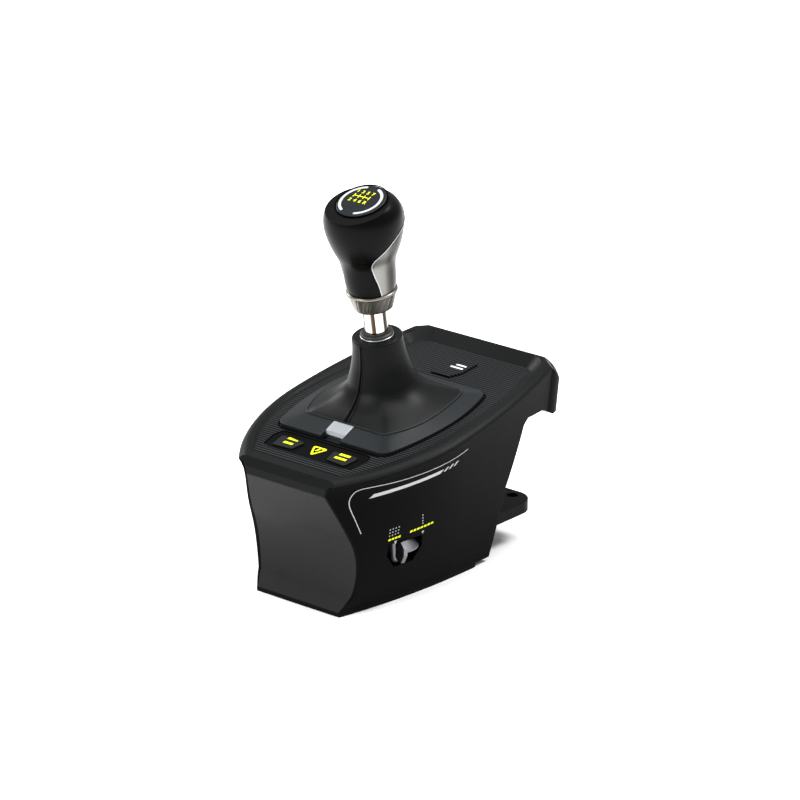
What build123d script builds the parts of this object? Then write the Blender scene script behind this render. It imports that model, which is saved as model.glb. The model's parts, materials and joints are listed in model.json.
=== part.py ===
"""Desk-clamped gear shifter for racing simulators.

Frame: X to the driver's right, Y away from the driver, Z up. The origin is the centre of the
underside of the base. All sizes are millimetres and degrees.
"""
import os
from dataclasses import dataclass
from math import cos, radians, sin, sqrt, tan

from build123d import *

os.makedirs("parts", exist_ok=True)

# Gaps that several pieces share
run_gap = 0.05          # radial gap of a pin that turns in a bush
fit_gap = 0.02          # gap of a part that is pressed or screwed into place
seat_gap = 0.1          # gap round a part that is dropped into a seat
slide_gap = 0.3         # gap round a part that travels
part_line = 0.15        # gap between two mouldings that meet
over = 5.0              # how far a cutting tool runs past a face
sky = 90.0              # how far a cutting tool runs above the rim
broad = 110.0           # half width of every side-view prism, wider than the body

# Base plate
base_front_y = -65.6
base_rear_y = 65.0
base_t = 3.0
base_corner_r = 6.0
wall = 2.4              # wall of the side shells

# Rim: the deck's crest lies on one tilted plane
rim_tilt = 9.3
crest_front_y = -74.5
crest_front_z = 99.5
rim_drop = 3.3          # from the crest plane down to the rim's lower edge
rim_band = 8.0          # width of the band outside the crest
rim_round = 1.5         # how far above a straight slope the middle of that band stands

# Tray floor in side view: a chord and its crown
floor_front_y = -66.0
floor_front_z = 100.3
floor_rear_y = 121.0
floor_rear_z = 125.3
floor_crown = 1.7
deck_t = 2.6
mat_t = 1.2
tray_margin = 0.5       # from the crest line in to the edge of the tray
tray_ease = 0.5         # the tray's floor is this much wider than the mat
tray_front_y = -73.7
tray_rear_y = 129.3

# Front face in side view
crease_y = -77.1
crease_z = 88.1
lip_y = -77.0
lip_z = 93.3
lip_t = 3.0
scoop_top_y = -62.2
scoop_top_z = 55.7
scoop_mid_y = -55.6
scoop_mid_z = 30.0
scoop_low_y = -57.6
scoop_low_z = 13.4
fascia_t = 3.2

# Rear face and tail in side view
rear_low_y = 75.5
rear_mid_y = 79.8
rear_mid_z = 55.5
rear_bend_y = 85.4
rear_bend_z = 75.0
rear_top_y = 91.0
rear_top_z = 98.5
under_y = 95.5
under_z = 102.2
hook_y = 118.5
hook_z = 100.5
hook_low_y = 130.5
hook_low_z = 93.7
hook_end_y = 137.5
hook_end_z = 93.2
tail_round_y = 143.8
tail_round_z = 96.2
tail_out_y = 146.4
tail_out_z = 104.0
tail_back_y = 142.6
tail_back_z = 118.5
tail_top_y = 130.5
tail_wall = 3.0

# Fall of the tail's two rear corners, measured from the corner along its diagonal and down
fall_turn = 45.0
fall_in = 7.2
fall_mid_in = 0.1
fall_mid_drop = 7.9
fall_out = 4.9
fall_drop = 27.6

# Knob, shaft and boot, measured along the lever from its pivot
pivot_y = 30.0
pivot_z = 78.0
lean = 9.0              # the lever leans toward the driver
shaft_r = 8.0
shaft_low_s = 9.0
shaft_top_s = 126.0
stud_r = 5.0
stud_top_s = 152.0


def crest_z(y):
    """Height of the crest plane at a place along Y."""
    return crest_front_z + (y - crest_front_y) * tan(radians(rim_tilt))


def rim_z(y):
    """Height of the plane on which the side shells end and the deck sits."""
    return crest_z(y) - rim_drop


def floor_z(y):
    """Height of the tray's floor: a straight chord with a slight crown."""
    share = (y - floor_front_y) / (floor_rear_y - floor_front_y)
    chord = floor_front_z + share * (floor_rear_z - floor_front_z)
    return chord + 4 * floor_crown * share * (1 - share)


def floor_plane(y, lift=0.0):
    """Plane that touches the tray floor at y, its X along +X and its Z away from the floor."""
    length = floor_rear_y - floor_front_y
    share = (y - floor_front_y) / length
    slope = (floor_rear_z - floor_front_z + 4 * floor_crown * (1 - 2 * share)) / length
    size = sqrt(1 + slope * slope)
    up = Vector(0, -slope / size, 1 / size)
    return Plane(origin=Vector(0, y, floor_z(y)) + up * lift, x_dir=(1, 0, 0), z_dir=up)


# Small helpers: solids that stand upright, lie along X or Y, or turn about the lever
def post(r, z0, z1, x=0.0, y=0.0):
    """Upright cylinder from z0 to z1."""
    return Pos(x, y, (z0 + z1) / 2) * Cylinder(r, z1 - z0)


def bar_x(r, x0, x1, y, z):
    """Cylinder along X."""
    return Pos((x0 + x1) / 2, y, z) * Rot(0, 90, 0) * Cylinder(r, x1 - x0)


def bar_y(r, y0, y1, x, z):
    """Cylinder along Y."""
    return Pos(x, (y0 + y1) / 2, z) * Rot(90, 0, 0) * Cylinder(r, y1 - y0)


def block(x0, x1, y0, y1, z0, z1):
    """Box given by its faces."""
    return Pos((x0 + x1) / 2, (y0 + y1) / 2, (z0 + z1) / 2) * Box(x1 - x0, y1 - y0, z1 - z0)


def yz(y, z):
    """Point of the side view on the mid plane."""
    return Vector(0, y, z)


def rs(r, s):
    """Point of a turned profile: radius and distance along the axis."""
    return Vector(r, 0, s)


def prism(edges, half_x=broad):
    """Solid of a closed side-view outline, the same to both sides of the mid plane."""
    return extrude(Face(Wire(edges)), amount=half_x, dir=(1, 0, 0), both=True)


def chain(points):
    """Straight lines through the points and back to the first."""
    return [Line(a, b) for a, b in zip(points, points[1:] + points[:1])]


def turned(points):
    """Solid turned about Z from a closed outline of straight lines."""
    return revolve(Face(Wire(chain([rs(r, s) for r, s in points]))), axis=Axis.Z)


def tube(r_out, r_in, s0, s1):
    """Straight tube about Z."""
    return turned([(r_in, s0), (r_out, s0), (r_out, s1), (r_in, s1)])


lever_plane = Plane(
    origin=(0, pivot_y, pivot_z),
    x_dir=(1, 0, 0),
    z_dir=(0, -sin(radians(lean)), cos(radians(lean))),
)


def on_lever(shape):
    """Moves a shape made about Z on to the lever's axis, with the pivot at its origin."""
    return lever_plane.location * shape


# Plan outlines of the housing
@dataclass(frozen=True)
class Outline:
    """Half width of the body along Y: two arcs that meet at the widest place."""

    half: float
    wide_y: float
    front_r: float
    rear_r: float

    def at(self, y, inset=0.0):
        """Half width at y, drawn in by inset."""
        r = (self.front_r if y < self.wide_y else self.rear_r) - inset
        return self.half - inset - r + sqrt(r * r - (y - self.wide_y) ** 2)


@dataclass(frozen=True)
class Corner:
    """Rounded rear corner: where it starts, its middle and where the rear edge begins."""

    start_y: float
    mid_y: float
    mid_in: float
    end_y: float
    end_in: float


cut_front_y = -90.0
body_corner = Corner(start_y=124.0, mid_y=140.5, mid_in=4.8, end_y=146.5, end_in=17.0)
tray_corner = Corner(start_y=110.0, mid_y=124.5, mid_in=4.6, end_y=tray_rear_y, end_in=14.0)
mat_corner = Corner(start_y=108.0, mid_y=118.0, mid_in=2.9, end_y=floor_rear_y, end_in=9.0)
foot_outline = Outline(half=48.8, wide_y=45.0, front_r=500.0, rear_r=2000.0)
knee_outline = Outline(half=52.5, wide_y=40.0, front_r=521.0, rear_r=1500.0)
waist_outline = Outline(half=62.5, wide_y=28.0, front_r=240.0, rear_r=676.0)
rim_outline = Outline(half=77.0, wide_y=16.0, front_r=139.0, rear_r=427.6)
mat_outline = Outline(half=64.8, wide_y=15.0, front_r=132.0, rear_r=326.0)
knee_z = 18.0
waist_z = 60.0


def plan_wire(outline, height, inset=0.0, rear_in=0.0, front_y=cut_front_y, corner=body_corner):
    """Closed outline seen from above, at the height that a function of y gives."""
    wide = outline.wide_y
    start = corner.start_y - rear_in
    x_start = outline.at(start, inset)
    places = {
        "front": (outline.at(front_y, inset), front_y),
        "front_mid": (outline.at((front_y + wide) / 2, inset), (front_y + wide) / 2),
        "wide": (outline.half - inset, wide),
        "rear_mid": (outline.at((wide + start) / 2, inset), (wide + start) / 2),
        "start": (x_start, start),
        "corner": (x_start - corner.mid_in, corner.mid_y - rear_in),
        "end": (x_start - corner.end_in, corner.end_y - rear_in),
    }

    def place(name, side):
        x, y = places[name]
        return (side * x, y, height(y))

    def arc(first, middle, last, side):
        return ThreePointArc(place(first, side), place(middle, side), place(last, side))

    edges = [Line(place("front", -1), place("front", 1))]
    edges += [arc("front", "front_mid", "wide", 1), arc("wide", "rear_mid", "start", 1)]
    edges += [arc("start", "corner", "end", 1), Line(place("end", 1), place("end", -1))]
    edges += [arc("end", "corner", "start", -1), arc("start", "rear_mid", "wide", -1)]
    edges += [arc("wide", "front_mid", "front", -1)]
    return Wire(edges)


def level(z):
    """Height function of a level plane."""
    return lambda y: z


def hull(inset=0.0, low_z=base_t):
    """Flared body between the base plate and the rim plane, longer in front than the real one."""
    sections = [
        plan_wire(foot_outline, level(low_z), inset, inset),
        plan_wire(knee_outline, level(knee_z), inset, inset),
        plan_wire(waist_outline, level(waist_z), inset, inset),
        plan_wire(rim_outline, rim_z, inset, inset),
    ]
    return Solid.make_loft(sections)


# Side views of the body and of the room inside it
def body_profile():
    """Front scoop, rear wall and down-turned tail."""
    top_z = crest_front_z + sky
    edges = [
        Line(yz(base_front_y, base_t), yz(scoop_low_y, scoop_low_z)),
        ThreePointArc(yz(scoop_low_y, scoop_low_z), yz(scoop_mid_y, scoop_mid_z),
                      yz(scoop_top_y, scoop_top_z)),
        Line(yz(scoop_top_y, scoop_top_z), yz(crease_y, crease_z)),
        Line(yz(crease_y, crease_z), yz(lip_y, lip_z)),
        Line(yz(lip_y, lip_z), yz(crest_front_y, crest_front_z)),
        Line(yz(crest_front_y, crest_front_z), yz(crest_front_y, top_z)),
        Line(yz(crest_front_y, top_z), yz(tail_top_y, top_z)),
        Line(yz(tail_top_y, top_z), yz(tail_top_y, crest_z(tail_top_y))),
        ThreePointArc(yz(tail_top_y, crest_z(tail_top_y)), yz(tail_back_y, tail_back_z),
                      yz(tail_out_y, tail_out_z)),
        ThreePointArc(yz(tail_out_y, tail_out_z), yz(tail_round_y, tail_round_z),
                      yz(hook_end_y, hook_end_z)),
        Line(yz(hook_end_y, hook_end_z), yz(hook_low_y, hook_low_z)),
        Line(yz(hook_low_y, hook_low_z), yz(hook_y, hook_z)),
        Line(yz(hook_y, hook_z), yz(under_y, under_z)),
        Line(yz(under_y, under_z), yz(rear_top_y, rear_top_z)),
        ThreePointArc(yz(rear_top_y, rear_top_z), yz(rear_bend_y, rear_bend_z),
                      yz(rear_mid_y, rear_mid_z)),
        Line(yz(rear_mid_y, rear_mid_z), yz(rear_low_y, base_t)),
        Line(yz(rear_low_y, base_t), yz(base_front_y, base_t)),
    ]
    return prism(edges)


def tail_fall(inset=0.0):
    """Space outside the rounded fall of the tail's two rear corners, a bent face across each diagonal."""
    corner = (rim_outline.at(tail_top_y) + tail_top_y) * sqrt(0.5) - inset
    top_z = crest_z(tail_top_y) - inset
    start, end = (corner - fall_in, top_z), (corner + fall_out, top_z - fall_drop)
    middle = (corner - fall_mid_in, top_z - fall_mid_drop)
    far = (broad + broad, end[1]), (broad + broad, top_z + sky), (start[0], top_z + sky)
    edges = [ThreePointArc(yz(*start), yz(*middle), yz(*end)), Line(yz(*end), yz(*far[0]))]
    edges += [Line(yz(*far[0]), yz(*far[1])), Line(yz(*far[1]), yz(*far[2])), Line(yz(*far[2]), yz(*start))]
    tool = Rot(0, 0, -fall_turn) * prism(edges)
    return tool + mirror(tool, about=Plane.YZ)


def room_profile():
    """Room inside the shells: open at the front, below and above."""
    front = cut_front_y - over
    low = base_t - over
    top_z = crest_front_z + sky + over
    rim_end = crest_z(tail_top_y)
    edges = [
        Line(yz(front, low), yz(front, top_z)),
        Line(yz(front, top_z), yz(tail_top_y - tail_wall, top_z)),
        Line(yz(tail_top_y - tail_wall, top_z), yz(tail_top_y - tail_wall, rim_end)),
        ThreePointArc(yz(tail_top_y - tail_wall, rim_end), yz(tail_back_y - tail_wall, tail_back_z),
                      yz(tail_out_y - tail_wall, tail_out_z)),
        Line(yz(tail_out_y - tail_wall, tail_out_z), yz(hook_end_y, hook_end_z + tail_wall)),
        Line(yz(hook_end_y, hook_end_z + tail_wall), yz(hook_low_y, hook_low_z + tail_wall)),
        Line(yz(hook_low_y, hook_low_z + tail_wall), yz(hook_y, hook_z + tail_wall)),
        Line(yz(hook_y, hook_z + tail_wall), yz(rear_top_y - wall, under_z + tail_wall)),
        Line(yz(rear_top_y - wall, under_z + tail_wall), yz(rear_top_y - wall, rear_top_z)),
        ThreePointArc(yz(rear_top_y - wall, rear_top_z), yz(rear_bend_y - wall, rear_bend_z),
                      yz(rear_mid_y - wall, rear_mid_z)),
        Line(yz(rear_mid_y - wall, rear_mid_z), yz(rear_low_y - wall, low)),
        Line(yz(rear_low_y - wall, low), yz(front, low)),
    ]
    return prism(edges)


def floor_band(high_drop, low_drop):
    """Space between two surfaces parallel to the tray floor, each so far below it."""
    front = cut_front_y
    rear = tail_out_y + over
    mid = (front + rear) / 2

    def arc(drop):
        return ThreePointArc(yz(front, floor_z(front) - drop), yz(mid, floor_z(mid) - drop),
                             yz(rear, floor_z(rear) - drop))

    high, low = arc(high_drop), arc(low_drop)
    return prism([high, Line(high @ 1, low @ 1), low, Line(low @ 0, high @ 0)])


nodes = {}
body = body_profile() - tail_fall()
body_hull = hull()
shell_room = hull(wall, base_t - over) & room_profile() - tail_fall(tail_wall)
inner_hull = hull(wall + part_line, base_t - over)
half_space = block(part_line / 2, broad, -2 * broad, 2 * broad, -sky, 4 * sky)

# Positions of the screws that come up through the base plate
shell_boss_front = (35.5, -44.0)
shell_boss_rear = (42.6, 37.0)
shell_boss_r = 4.6
shell_boss_z = 15.0
boss_web_t = 2.4
small_screw_r = 1.5
small_head_r = 2.9
small_head_t = 1.8
frame_screw_x = 19.0
frame_screw_r = 2.0
frame_head_r = 3.6
frame_head_t = 2.0
post_screw_r = 3.0
post_head_r = 5.0
post_head_t = 2.2
insert_x = 34.0
insert_front_y = -29.0
insert_rear_y = 15.0
insert_bore_r = 2.5
insert_r = 4.5
insert_top_z = 9.0

# Clamp shelf that goes under the desk
shelf_top_z = 29.0
shelf_t = 8.0
shelf_half = 45.0
shelf_rear_y = 132.0
shelf_front_y = 43.0
shelf_corner_r = 15.0
shelf_hole_x = 30.0
shelf_hole_y = 123.7
shelf_hole_r = 4.0
shelf_notch_half = 24.5
shelf_notch_y = 69.5
shelf_post_x = 34.0
shelf_post_y = 52.0
shelf_post_w = 13.0
shelf_low_z = shelf_top_z - shelf_t

# Mechanism frame: two uprights with the trunnion bushes, on one foot
frame_in = 31.0         # from the pivot to the inner face of an upright
upright_t = 5.0
upright_half = 22.5
upright_shoulder_z = 48.0
upright_top_half = 13.0
frame_foot_t = 4.0
frame_foot_more = 3.0
rail_in = 13.5
rail_z = 42.0
rail_t = 3.0
ledge_t = 3.0
ledge_reach = 5.5
gate_z = 20.0
gate_t = 3.0
gate_half = 20.5
gate_slot_w = 5.0
gate_front_y = 24.2
gate_rear_y = 55.6
gate_cross_w = 6.4
gate_plane_x = -6.47    # X of the first plane beside neutral, seen at the gate
gate_cross_y = 38.9
gate_screw_x = 17.0
gate_screw_in = 3.3

# Cradle, axle, hub and arm
ring_half = 22.0
ring_bore_half = 15.0
ring_half_h = 8.0
ring_corner_r = 5.0
pin_r = 4.0             # trunnions and shift axle
bush_wall = 2.4
bush_flange = 1.3
bush_flange_t = 0.9
trunnion_end = 37.5
hub_r = 12.2
hub_half = 11.9
hub_boss_r = 10.5
hub_boss_s = 26.0
hub_low_r = 6.5
hub_low_s = 21.0
arm_r = 4.0
arm_top_s = 12.0
arm_end_s = 48.0
gate_pin_r = 1.8
gate_pin_s = 64.0
axle_half = 24.0
magnet_r = 3.0
magnet_t = 2.5
board_t = 1.6
sensor_gap = 1.0
sensor_half = 9.0
sensor_lug_x = 16.5
sensor_lug_r = 2.4
plunger_r = 3.0
plunger_tip_r = 1.2
plunger_tip = 12.4
plunger_cone = 14.6
plunger_end = 27.0

# Springs are plain tubes
centring_spring_x = 18.2
centring_spring_r = 3.6
spring_wall = 1.0
button_spring_r = 3.4

# Mode selector in the right wall
mode_x = 43.0
mode_y = -17.5
cup_r = 18.5
cup_low_z = 28.0
cup_top_z = 46.0
cup_wall = 2.0
cup_low_r = 12.0
cup_bend_z = 38.0
disc_r = 16.4
disc_z = 38.8
disc_edge_t = 0.8
disc_top_r = 11.5
mode_hub_r = 5.0
mode_pin_r = 2.0
blade_t = 2.6
blade_low_z = 30.5
blade_root_z = 34.0
blade_low_r = 8.0
blade_foot_r = 13.1
blade_bend_z = 37.2
blade_high_z = 42.0
blade_reach = 17.4
blade_angle = -23.0
mode_gap = 0.4
mode_board_half = 11.0
detent_r = 2.0
detent_x = 33.5

# Rear inlet
port_x = -32.0
port_z = 40.0
port_half_w = 6.0
port_half_h = 5.5
port_depth = 16.0
port_flange = 1.4
port_mouth_half = 4.2
port_mouth_h = 3.9

# Main board
main_half = 27.0
main_front_y = -50.0
main_rear_y = -14.0
main_z = 9.0
main_leg_r = 2.5
main_leg_in = 4.0
chip_half = 7.0
chip_t = 1.8


def spread(shape, places):
    """One compound with a copy of the shape at each place."""
    return Compound([Pos(x, y, 0) * shape for x, y in places])


def mirror_pair(place):
    """A place and its mirror image about the mid plane."""
    x, y = place
    return [(x, y), (-x, y)]


def screw(shank_r, head_r, head_t, top_z):
    """Countersunk screw that comes up from the underside of the base plate."""
    sunk = turned([(0, 0), (head_r, 0), (shank_r, head_t), (shank_r, top_z), (0, top_z)])
    return sunk


shell_screw_places = mirror_pair(shell_boss_front) + mirror_pair(shell_boss_rear)
frame_y0 = pivot_y - frame_in - upright_t - frame_foot_more
frame_y1 = pivot_y + frame_in + upright_t - frame_foot_more
frame_screw_ys = (frame_y0 + 2 * frame_head_r, frame_y1 - 2 * frame_head_r)
frame_screw_places = [(x, y) for x in (-frame_screw_x, frame_screw_x) for y in frame_screw_ys]
post_places = mirror_pair((shelf_post_x, shelf_post_y))
insert_places = [(x, y) for x in (-insert_x, insert_x) for y in (insert_front_y, insert_rear_y)]

# Base plate with its screws and pressed-in threads
plate = extrude(Face(plan_wire(foot_outline, level(0), front_y=base_front_y)), amount=base_t)
plate = plate & block(-broad, broad, -broad, base_rear_y, -over, base_t + over)
rear_edges = plate.edges().filter_by(Axis.Z).sort_by(Axis.Y)[-2:]
plate = fillet(rear_edges, base_corner_r)
for kind, places in (
    ((small_screw_r, small_head_r, small_head_t), shell_screw_places),
    ((frame_screw_r, frame_head_r, frame_head_t), frame_screw_places),
    ((post_screw_r, post_head_r, post_head_t), post_places),
):
    shank, head, depth = kind
    tool = screw(shank + fit_gap, head + fit_gap, depth, base_t + over)
    plate -= spread(tool, places)
plate -= spread(post(insert_r + fit_gap, -over, base_t + over), insert_places)
nodes["base_plate"] = plate
thread_in = base_t / 2
shell_screw_top = shell_boss_z - thread_in
nodes["shell_screws"] = spread(
    screw(small_screw_r, small_head_r, small_head_t, shell_screw_top), shell_screw_places)
nodes["frame_screws"] = spread(
    screw(frame_screw_r, frame_head_r, frame_head_t, base_t + frame_foot_t), frame_screw_places)
nodes["shelf_screws"] = spread(
    screw(post_screw_r, post_head_r, post_head_t, shelf_top_z - thread_in), post_places)
nodes["mount_inserts"] = spread(tube(insert_r, insert_bore_r, 0, insert_top_z), insert_places)

# Clamp shelf: a plate whose two wings stand on posts beside the mechanism
shelf = block(-shelf_half, shelf_half, shelf_front_y, shelf_rear_y, shelf_low_z, shelf_top_z)
shelf = fillet(shelf.edges().filter_by(Axis.Z).sort_by(Axis.Y)[-2:], shelf_corner_r)
shelf -= block(-shelf_notch_half, shelf_notch_half, shelf_front_y - over, shelf_notch_y,
               shelf_low_z - over, shelf_top_z + over)
for x, y in mirror_pair((shelf_hole_x, shelf_hole_y)):
    shelf -= post(shelf_hole_r, shelf_low_z - over, shelf_top_z + over, x, y)
for x, y in post_places:
    shelf -= post(post_screw_r + fit_gap, shelf_low_z - over, shelf_top_z + over, x, y)
nodes["clamp_shelf"] = shelf
leg = block(-shelf_post_w / 2, shelf_post_w / 2, -shelf_post_w / 2, shelf_post_w / 2,
            base_t, shelf_low_z)
leg -= post(post_screw_r + fit_gap, 0, shelf_top_z)
nodes["shelf_posts"] = spread(leg, post_places)

# Side shells: flared skin with the rear wall and the tail, parted on the mid plane
skin = (body_hull & body) - shell_room
skin += spread(post(shell_boss_r, base_t, shell_boss_z), shell_screw_places) & body_hull
for x, y in shell_screw_places:
    x0, x1 = sorted((x, broad if x > 0 else -broad))
    skin += block(x0, x1, y - boss_web_t / 2, y + boss_web_t / 2, base_t, shell_boss_z) & body_hull
skin -= spread(post(small_screw_r + fit_gap, 0, shell_screw_top + fit_gap), shell_screw_places)
skin -= block(-shelf_half - slide_gap, shelf_half + slide_gap, base_rear_y, rear_top_y,
              shelf_low_z - seat_gap, shelf_top_z + seat_gap)
port_wall_y = rear_low_y + (rear_mid_y - rear_low_y) * port_z / rear_mid_z
skin -= block(port_x - port_half_w - seat_gap, port_x + port_half_w + seat_gap,
              port_wall_y - port_depth, rear_top_y,
              port_z - port_half_h - seat_gap, port_z + port_half_h + seat_gap)
skin -= Pos(mode_x, mode_y, 0) * turned([
    (0, cup_low_z), (cup_low_r, cup_low_z), (cup_r, cup_bend_z), (cup_r, cup_top_z), (0, cup_top_z)])
right_shell = skin & half_space
left_shell = skin & mirror(half_space, about=Plane.YZ)
nodes["right_shell"] = right_shell
nodes["left_shell"] = left_shell

# Front fascia: the scooped cover between the front edges of the shells
fascia_edges = [
    Line(yz(base_front_y, base_t), yz(scoop_low_y, scoop_low_z)),
    ThreePointArc(yz(scoop_low_y, scoop_low_z), yz(scoop_mid_y, scoop_mid_z),
                  yz(scoop_top_y, scoop_top_z)),
    Line(yz(scoop_top_y, scoop_top_z), yz(crease_y, crease_z - part_line)),
    Line(yz(crease_y, crease_z - part_line), yz(crease_y + fascia_t, crease_z - part_line)),
    Line(yz(crease_y + fascia_t, crease_z - part_line), yz(scoop_top_y + fascia_t, scoop_top_z)),
    ThreePointArc(yz(scoop_top_y + fascia_t, scoop_top_z), yz(scoop_mid_y + fascia_t, scoop_mid_z),
                  yz(scoop_low_y + fascia_t, scoop_low_z)),
    Line(yz(scoop_low_y + fascia_t, scoop_low_z), yz(base_front_y + fascia_t, base_t)),
    Line(yz(base_front_y + fascia_t, base_t), yz(base_front_y, base_t)),
]
nodes["front_fascia"] = prism(fascia_edges) & inner_hull

# Top deck: convex rim, tray, front lip and the posts that carry the button boards
rim_mid_z = rim_drop / 2 - rim_round
rim_solid = Solid.make_loft([
    plan_wire(rim_outline, rim_z),
    plan_wire(rim_outline, lambda y: crest_z(y) - rim_mid_z, rim_band / 2),
    plan_wire(rim_outline, crest_z, rim_band),
])
lip_edges = chain([
    yz(crease_y, crease_z), yz(lip_y, lip_z), yz(crest_front_y, crest_front_z),
    yz(crest_front_y + lip_t, crest_front_z), yz(lip_y + lip_t, lip_z), yz(crease_y + lip_t, crease_z),
])
deck_room = hull(wall + seat_gap, base_t - over)
deck_stop = block(-broad, broad, crest_front_y + lip_t / 4, tail_top_y - tail_wall - seat_gap, 0, 2 * sky)
deck_low = mat_t + deck_t
plug = (deck_room & floor_band(-sky, deck_low)) & deck_stop - tail_fall(tail_wall + seat_gap)
deck = (rim_solid & body) + plug + (prism(lip_edges) & deck_room)


def chord_z(y):
    """Height of the straight chord of the tray floor."""
    share = (y - floor_front_y) / (floor_rear_y - floor_front_y)
    return floor_front_z + share * (floor_rear_z - floor_front_z)


def tray_sketch(outline, front_y, rear_y, corner_r):
    """Level face of a shape on the tray, with four rounded corners."""
    front_mid = (front_y + outline.wide_y) / 2
    rear_mid = (rear_y + outline.wide_y) / 2
    edges = []
    for side in (1, -1):
        spots = [(side * outline.at(y), y) for y in (front_y, front_mid, outline.wide_y, rear_mid, rear_y)]
        if side < 0:
            spots.reverse()
        edges += [ThreePointArc(*spots[:3]), ThreePointArc(*spots[2:])]
    ends = [Line(edges[1] @ 1, edges[2] @ 0), Line(edges[3] @ 1, edges[0] @ 0)]
    face = make_face(edges[:2] + ends[:1] + edges[2:] + ends[1:])
    corners = [v for v in face.vertices() if abs(v.Y - outline.wide_y) > corner_r]
    return fillet(corners, corner_r)


# Tray: the pocket above the mat and the pocket for the mat
tray_tool = Solid.make_loft([
    plan_wire(mat_outline, chord_z, -tray_ease, -tray_ease, floor_front_y - tray_ease, mat_corner),
    plan_wire(rim_outline, crest_z, rim_band + tray_margin, front_y=tray_front_y,
              corner=tray_corner),
], True)
mat_blank = extrude(Face(plan_wire(mat_outline, level(0), front_y=floor_front_y, corner=mat_corner)),
                    amount=2 * sky)
mat_seat = extrude(Face(plan_wire(mat_outline, level(0), -seat_gap, -seat_gap,
                                  front_y=floor_front_y - seat_gap, corner=mat_corner)),
                   amount=2 * sky)
deck -= tray_tool & floor_band(-sky, 0)
deck -= mat_seat & floor_band(-sky, mat_t)

# Boot bezel: low collar whose top carries the boot's piping, open at the front for its clip
bezel_front_y = -32.4
bezel_rear_y = 73.6
bezel_corner_r = 9.0
bezel_wall = 1.75
bead_front_y = -17.0
bead_rear_y = 62.0
bead_corner_r = 4.5
bead_lift = 5.5
bead_w = 2.0
bezel_outline = Outline(half=56.0, wide_y=25.0, front_r=185.0, rear_r=135.0)
bead_outline = Outline(half=45.4, wide_y=17.0, front_r=58.0, rear_r=147.0)
bezel_y = 20.0
clip_half = 8.5
clip_rear_y = -15.6
clip_top_y = -17.6
clip_top_lift = 6.0
clip_front_y = -26.4
clip_front_lift = 3.4
clip_foot_y = -27.6
clip_round = 1.2
bezel_spot = floor_plane(bezel_y)


def on_floor(shape, lift=0.0):
    """Lays a level shape on the plane of the tray floor under the bezel."""
    return floor_plane(bezel_y, lift).location * (Pos(0, -bezel_y, 0) * shape)


bezel_face = tray_sketch(bezel_outline, bezel_front_y, bezel_rear_y, bezel_corner_r)
bead_face = tray_sketch(bead_outline, bead_front_y, bead_rear_y, bead_corner_r)
throat_outline = Outline(half=bead_outline.half - bead_w, wide_y=bead_outline.wide_y,
                         front_r=bead_outline.front_r - bead_w, rear_r=bead_outline.rear_r - bead_w)
throat_face = tray_sketch(throat_outline, bead_front_y + bead_w, bead_rear_y - bead_w,
                          bead_corner_r - bead_w / 2)
bezel = extrude(on_floor(bezel_face, -over), amount=over + bezel_wall, dir=bezel_spot.z_dir)
bezel += loft([on_floor(bezel_face, bezel_wall).face(), on_floor(bead_face, bead_lift).face()])
throat = extrude(on_floor(throat_face, -2 * over), amount=4 * over, dir=bezel_spot.z_dir)
clip_slot = block(-clip_half - seat_gap, clip_half + seat_gap, bezel_front_y - over, bead_front_y + over,
                  -2 * over, 2 * over)
bezel = bezel - throat - on_floor(clip_slot)
above_deck = floor_band(-sky, mat_t)
nodes["boot_bezel"] = bezel & above_deck
mat_cut = extrude(on_floor(offset(bezel_face, seat_gap), -2 * over), amount=4 * over, dir=bezel_spot.z_dir)
clip_profile = chain([
    yz(clip_rear_y, -over), yz(clip_rear_y, bead_lift), yz(clip_top_y, clip_top_lift),
    yz(clip_front_y, clip_front_lift), yz(clip_foot_y, clip_front_lift - clip_round * 2),
    yz(clip_foot_y, -over),
])
nodes["bezel_clip"] = on_floor(prism(clip_profile, clip_half)) & above_deck

# Buttons: rounded caps with a flange that stops them under the deck
press = 1.2
cap_out = 0.9
cap_corner_r = 2.0
flange_w = 1.3
flange_top = deck_low + seat_gap
flange_t = 1.6
front_button_y = -48.0
rear_button_y = 95.0
board_depth = 12.0
rear_cap_out = 1.4
cap_front_out_x = 31.5
cap_front_out_y = -54.5
cap_rear_out_x = 33.5
cap_rear_out_y = -41.3
cap_rear_in_x = 12.5
cap_rear_in_y = -42.2
cap_front_in_x = 15.3
cap_front_in_y = -53.4
rear_cap_back_half = 10.0
rear_cap_back_y = 108.0
rear_cap_wide_half = 11.9
rear_cap_wide_y = 106.3
rear_cap_mid_half = 11.6
rear_cap_mid_y = 89.7
rear_cap_front_half = 7.9
rear_cap_front_y = 81.6
panel_front_half = 33.0
panel_front_y = -56.5
panel_low_half = 38.3
panel_low_y = -54.5
panel_wide_half = 40.4
panel_wide_y = -42.0
panel_rear_half = 38.0
panel_rear_y = -35.4
panel_drop = 0.3


def both_sides(points):
    """Closed outline from its right half, given from the front to the rear."""
    return points + [(-x, y) for x, y in reversed(points)]


right_cap_points = [(cap_front_out_x, cap_front_out_y), (cap_rear_out_x, cap_rear_out_y),
                    (cap_rear_in_x, cap_rear_in_y), (cap_front_in_x, cap_front_in_y)]
left_cap_points = [(-x, y) for x, y in reversed(right_cap_points)]
rear_cap_points = both_sides([
    (rear_cap_front_half, rear_cap_front_y), (rear_cap_mid_half, rear_cap_mid_y),
    (rear_cap_wide_half, rear_cap_wide_y), (rear_cap_back_half, rear_cap_back_y)])
panel_points = both_sides([
    (panel_front_half, panel_front_y), (panel_low_half, panel_low_y),
    (panel_wide_half, panel_wide_y), (panel_rear_half, panel_rear_y)])


def cap_sketch(points, y, round_r=cap_corner_r):
    """Face of a button in the plane of the floor at y."""
    face = make_face(Polyline(*[(px, py - y) for px, py in points], close=True))
    return fillet(face.vertices(), round_r)


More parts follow.
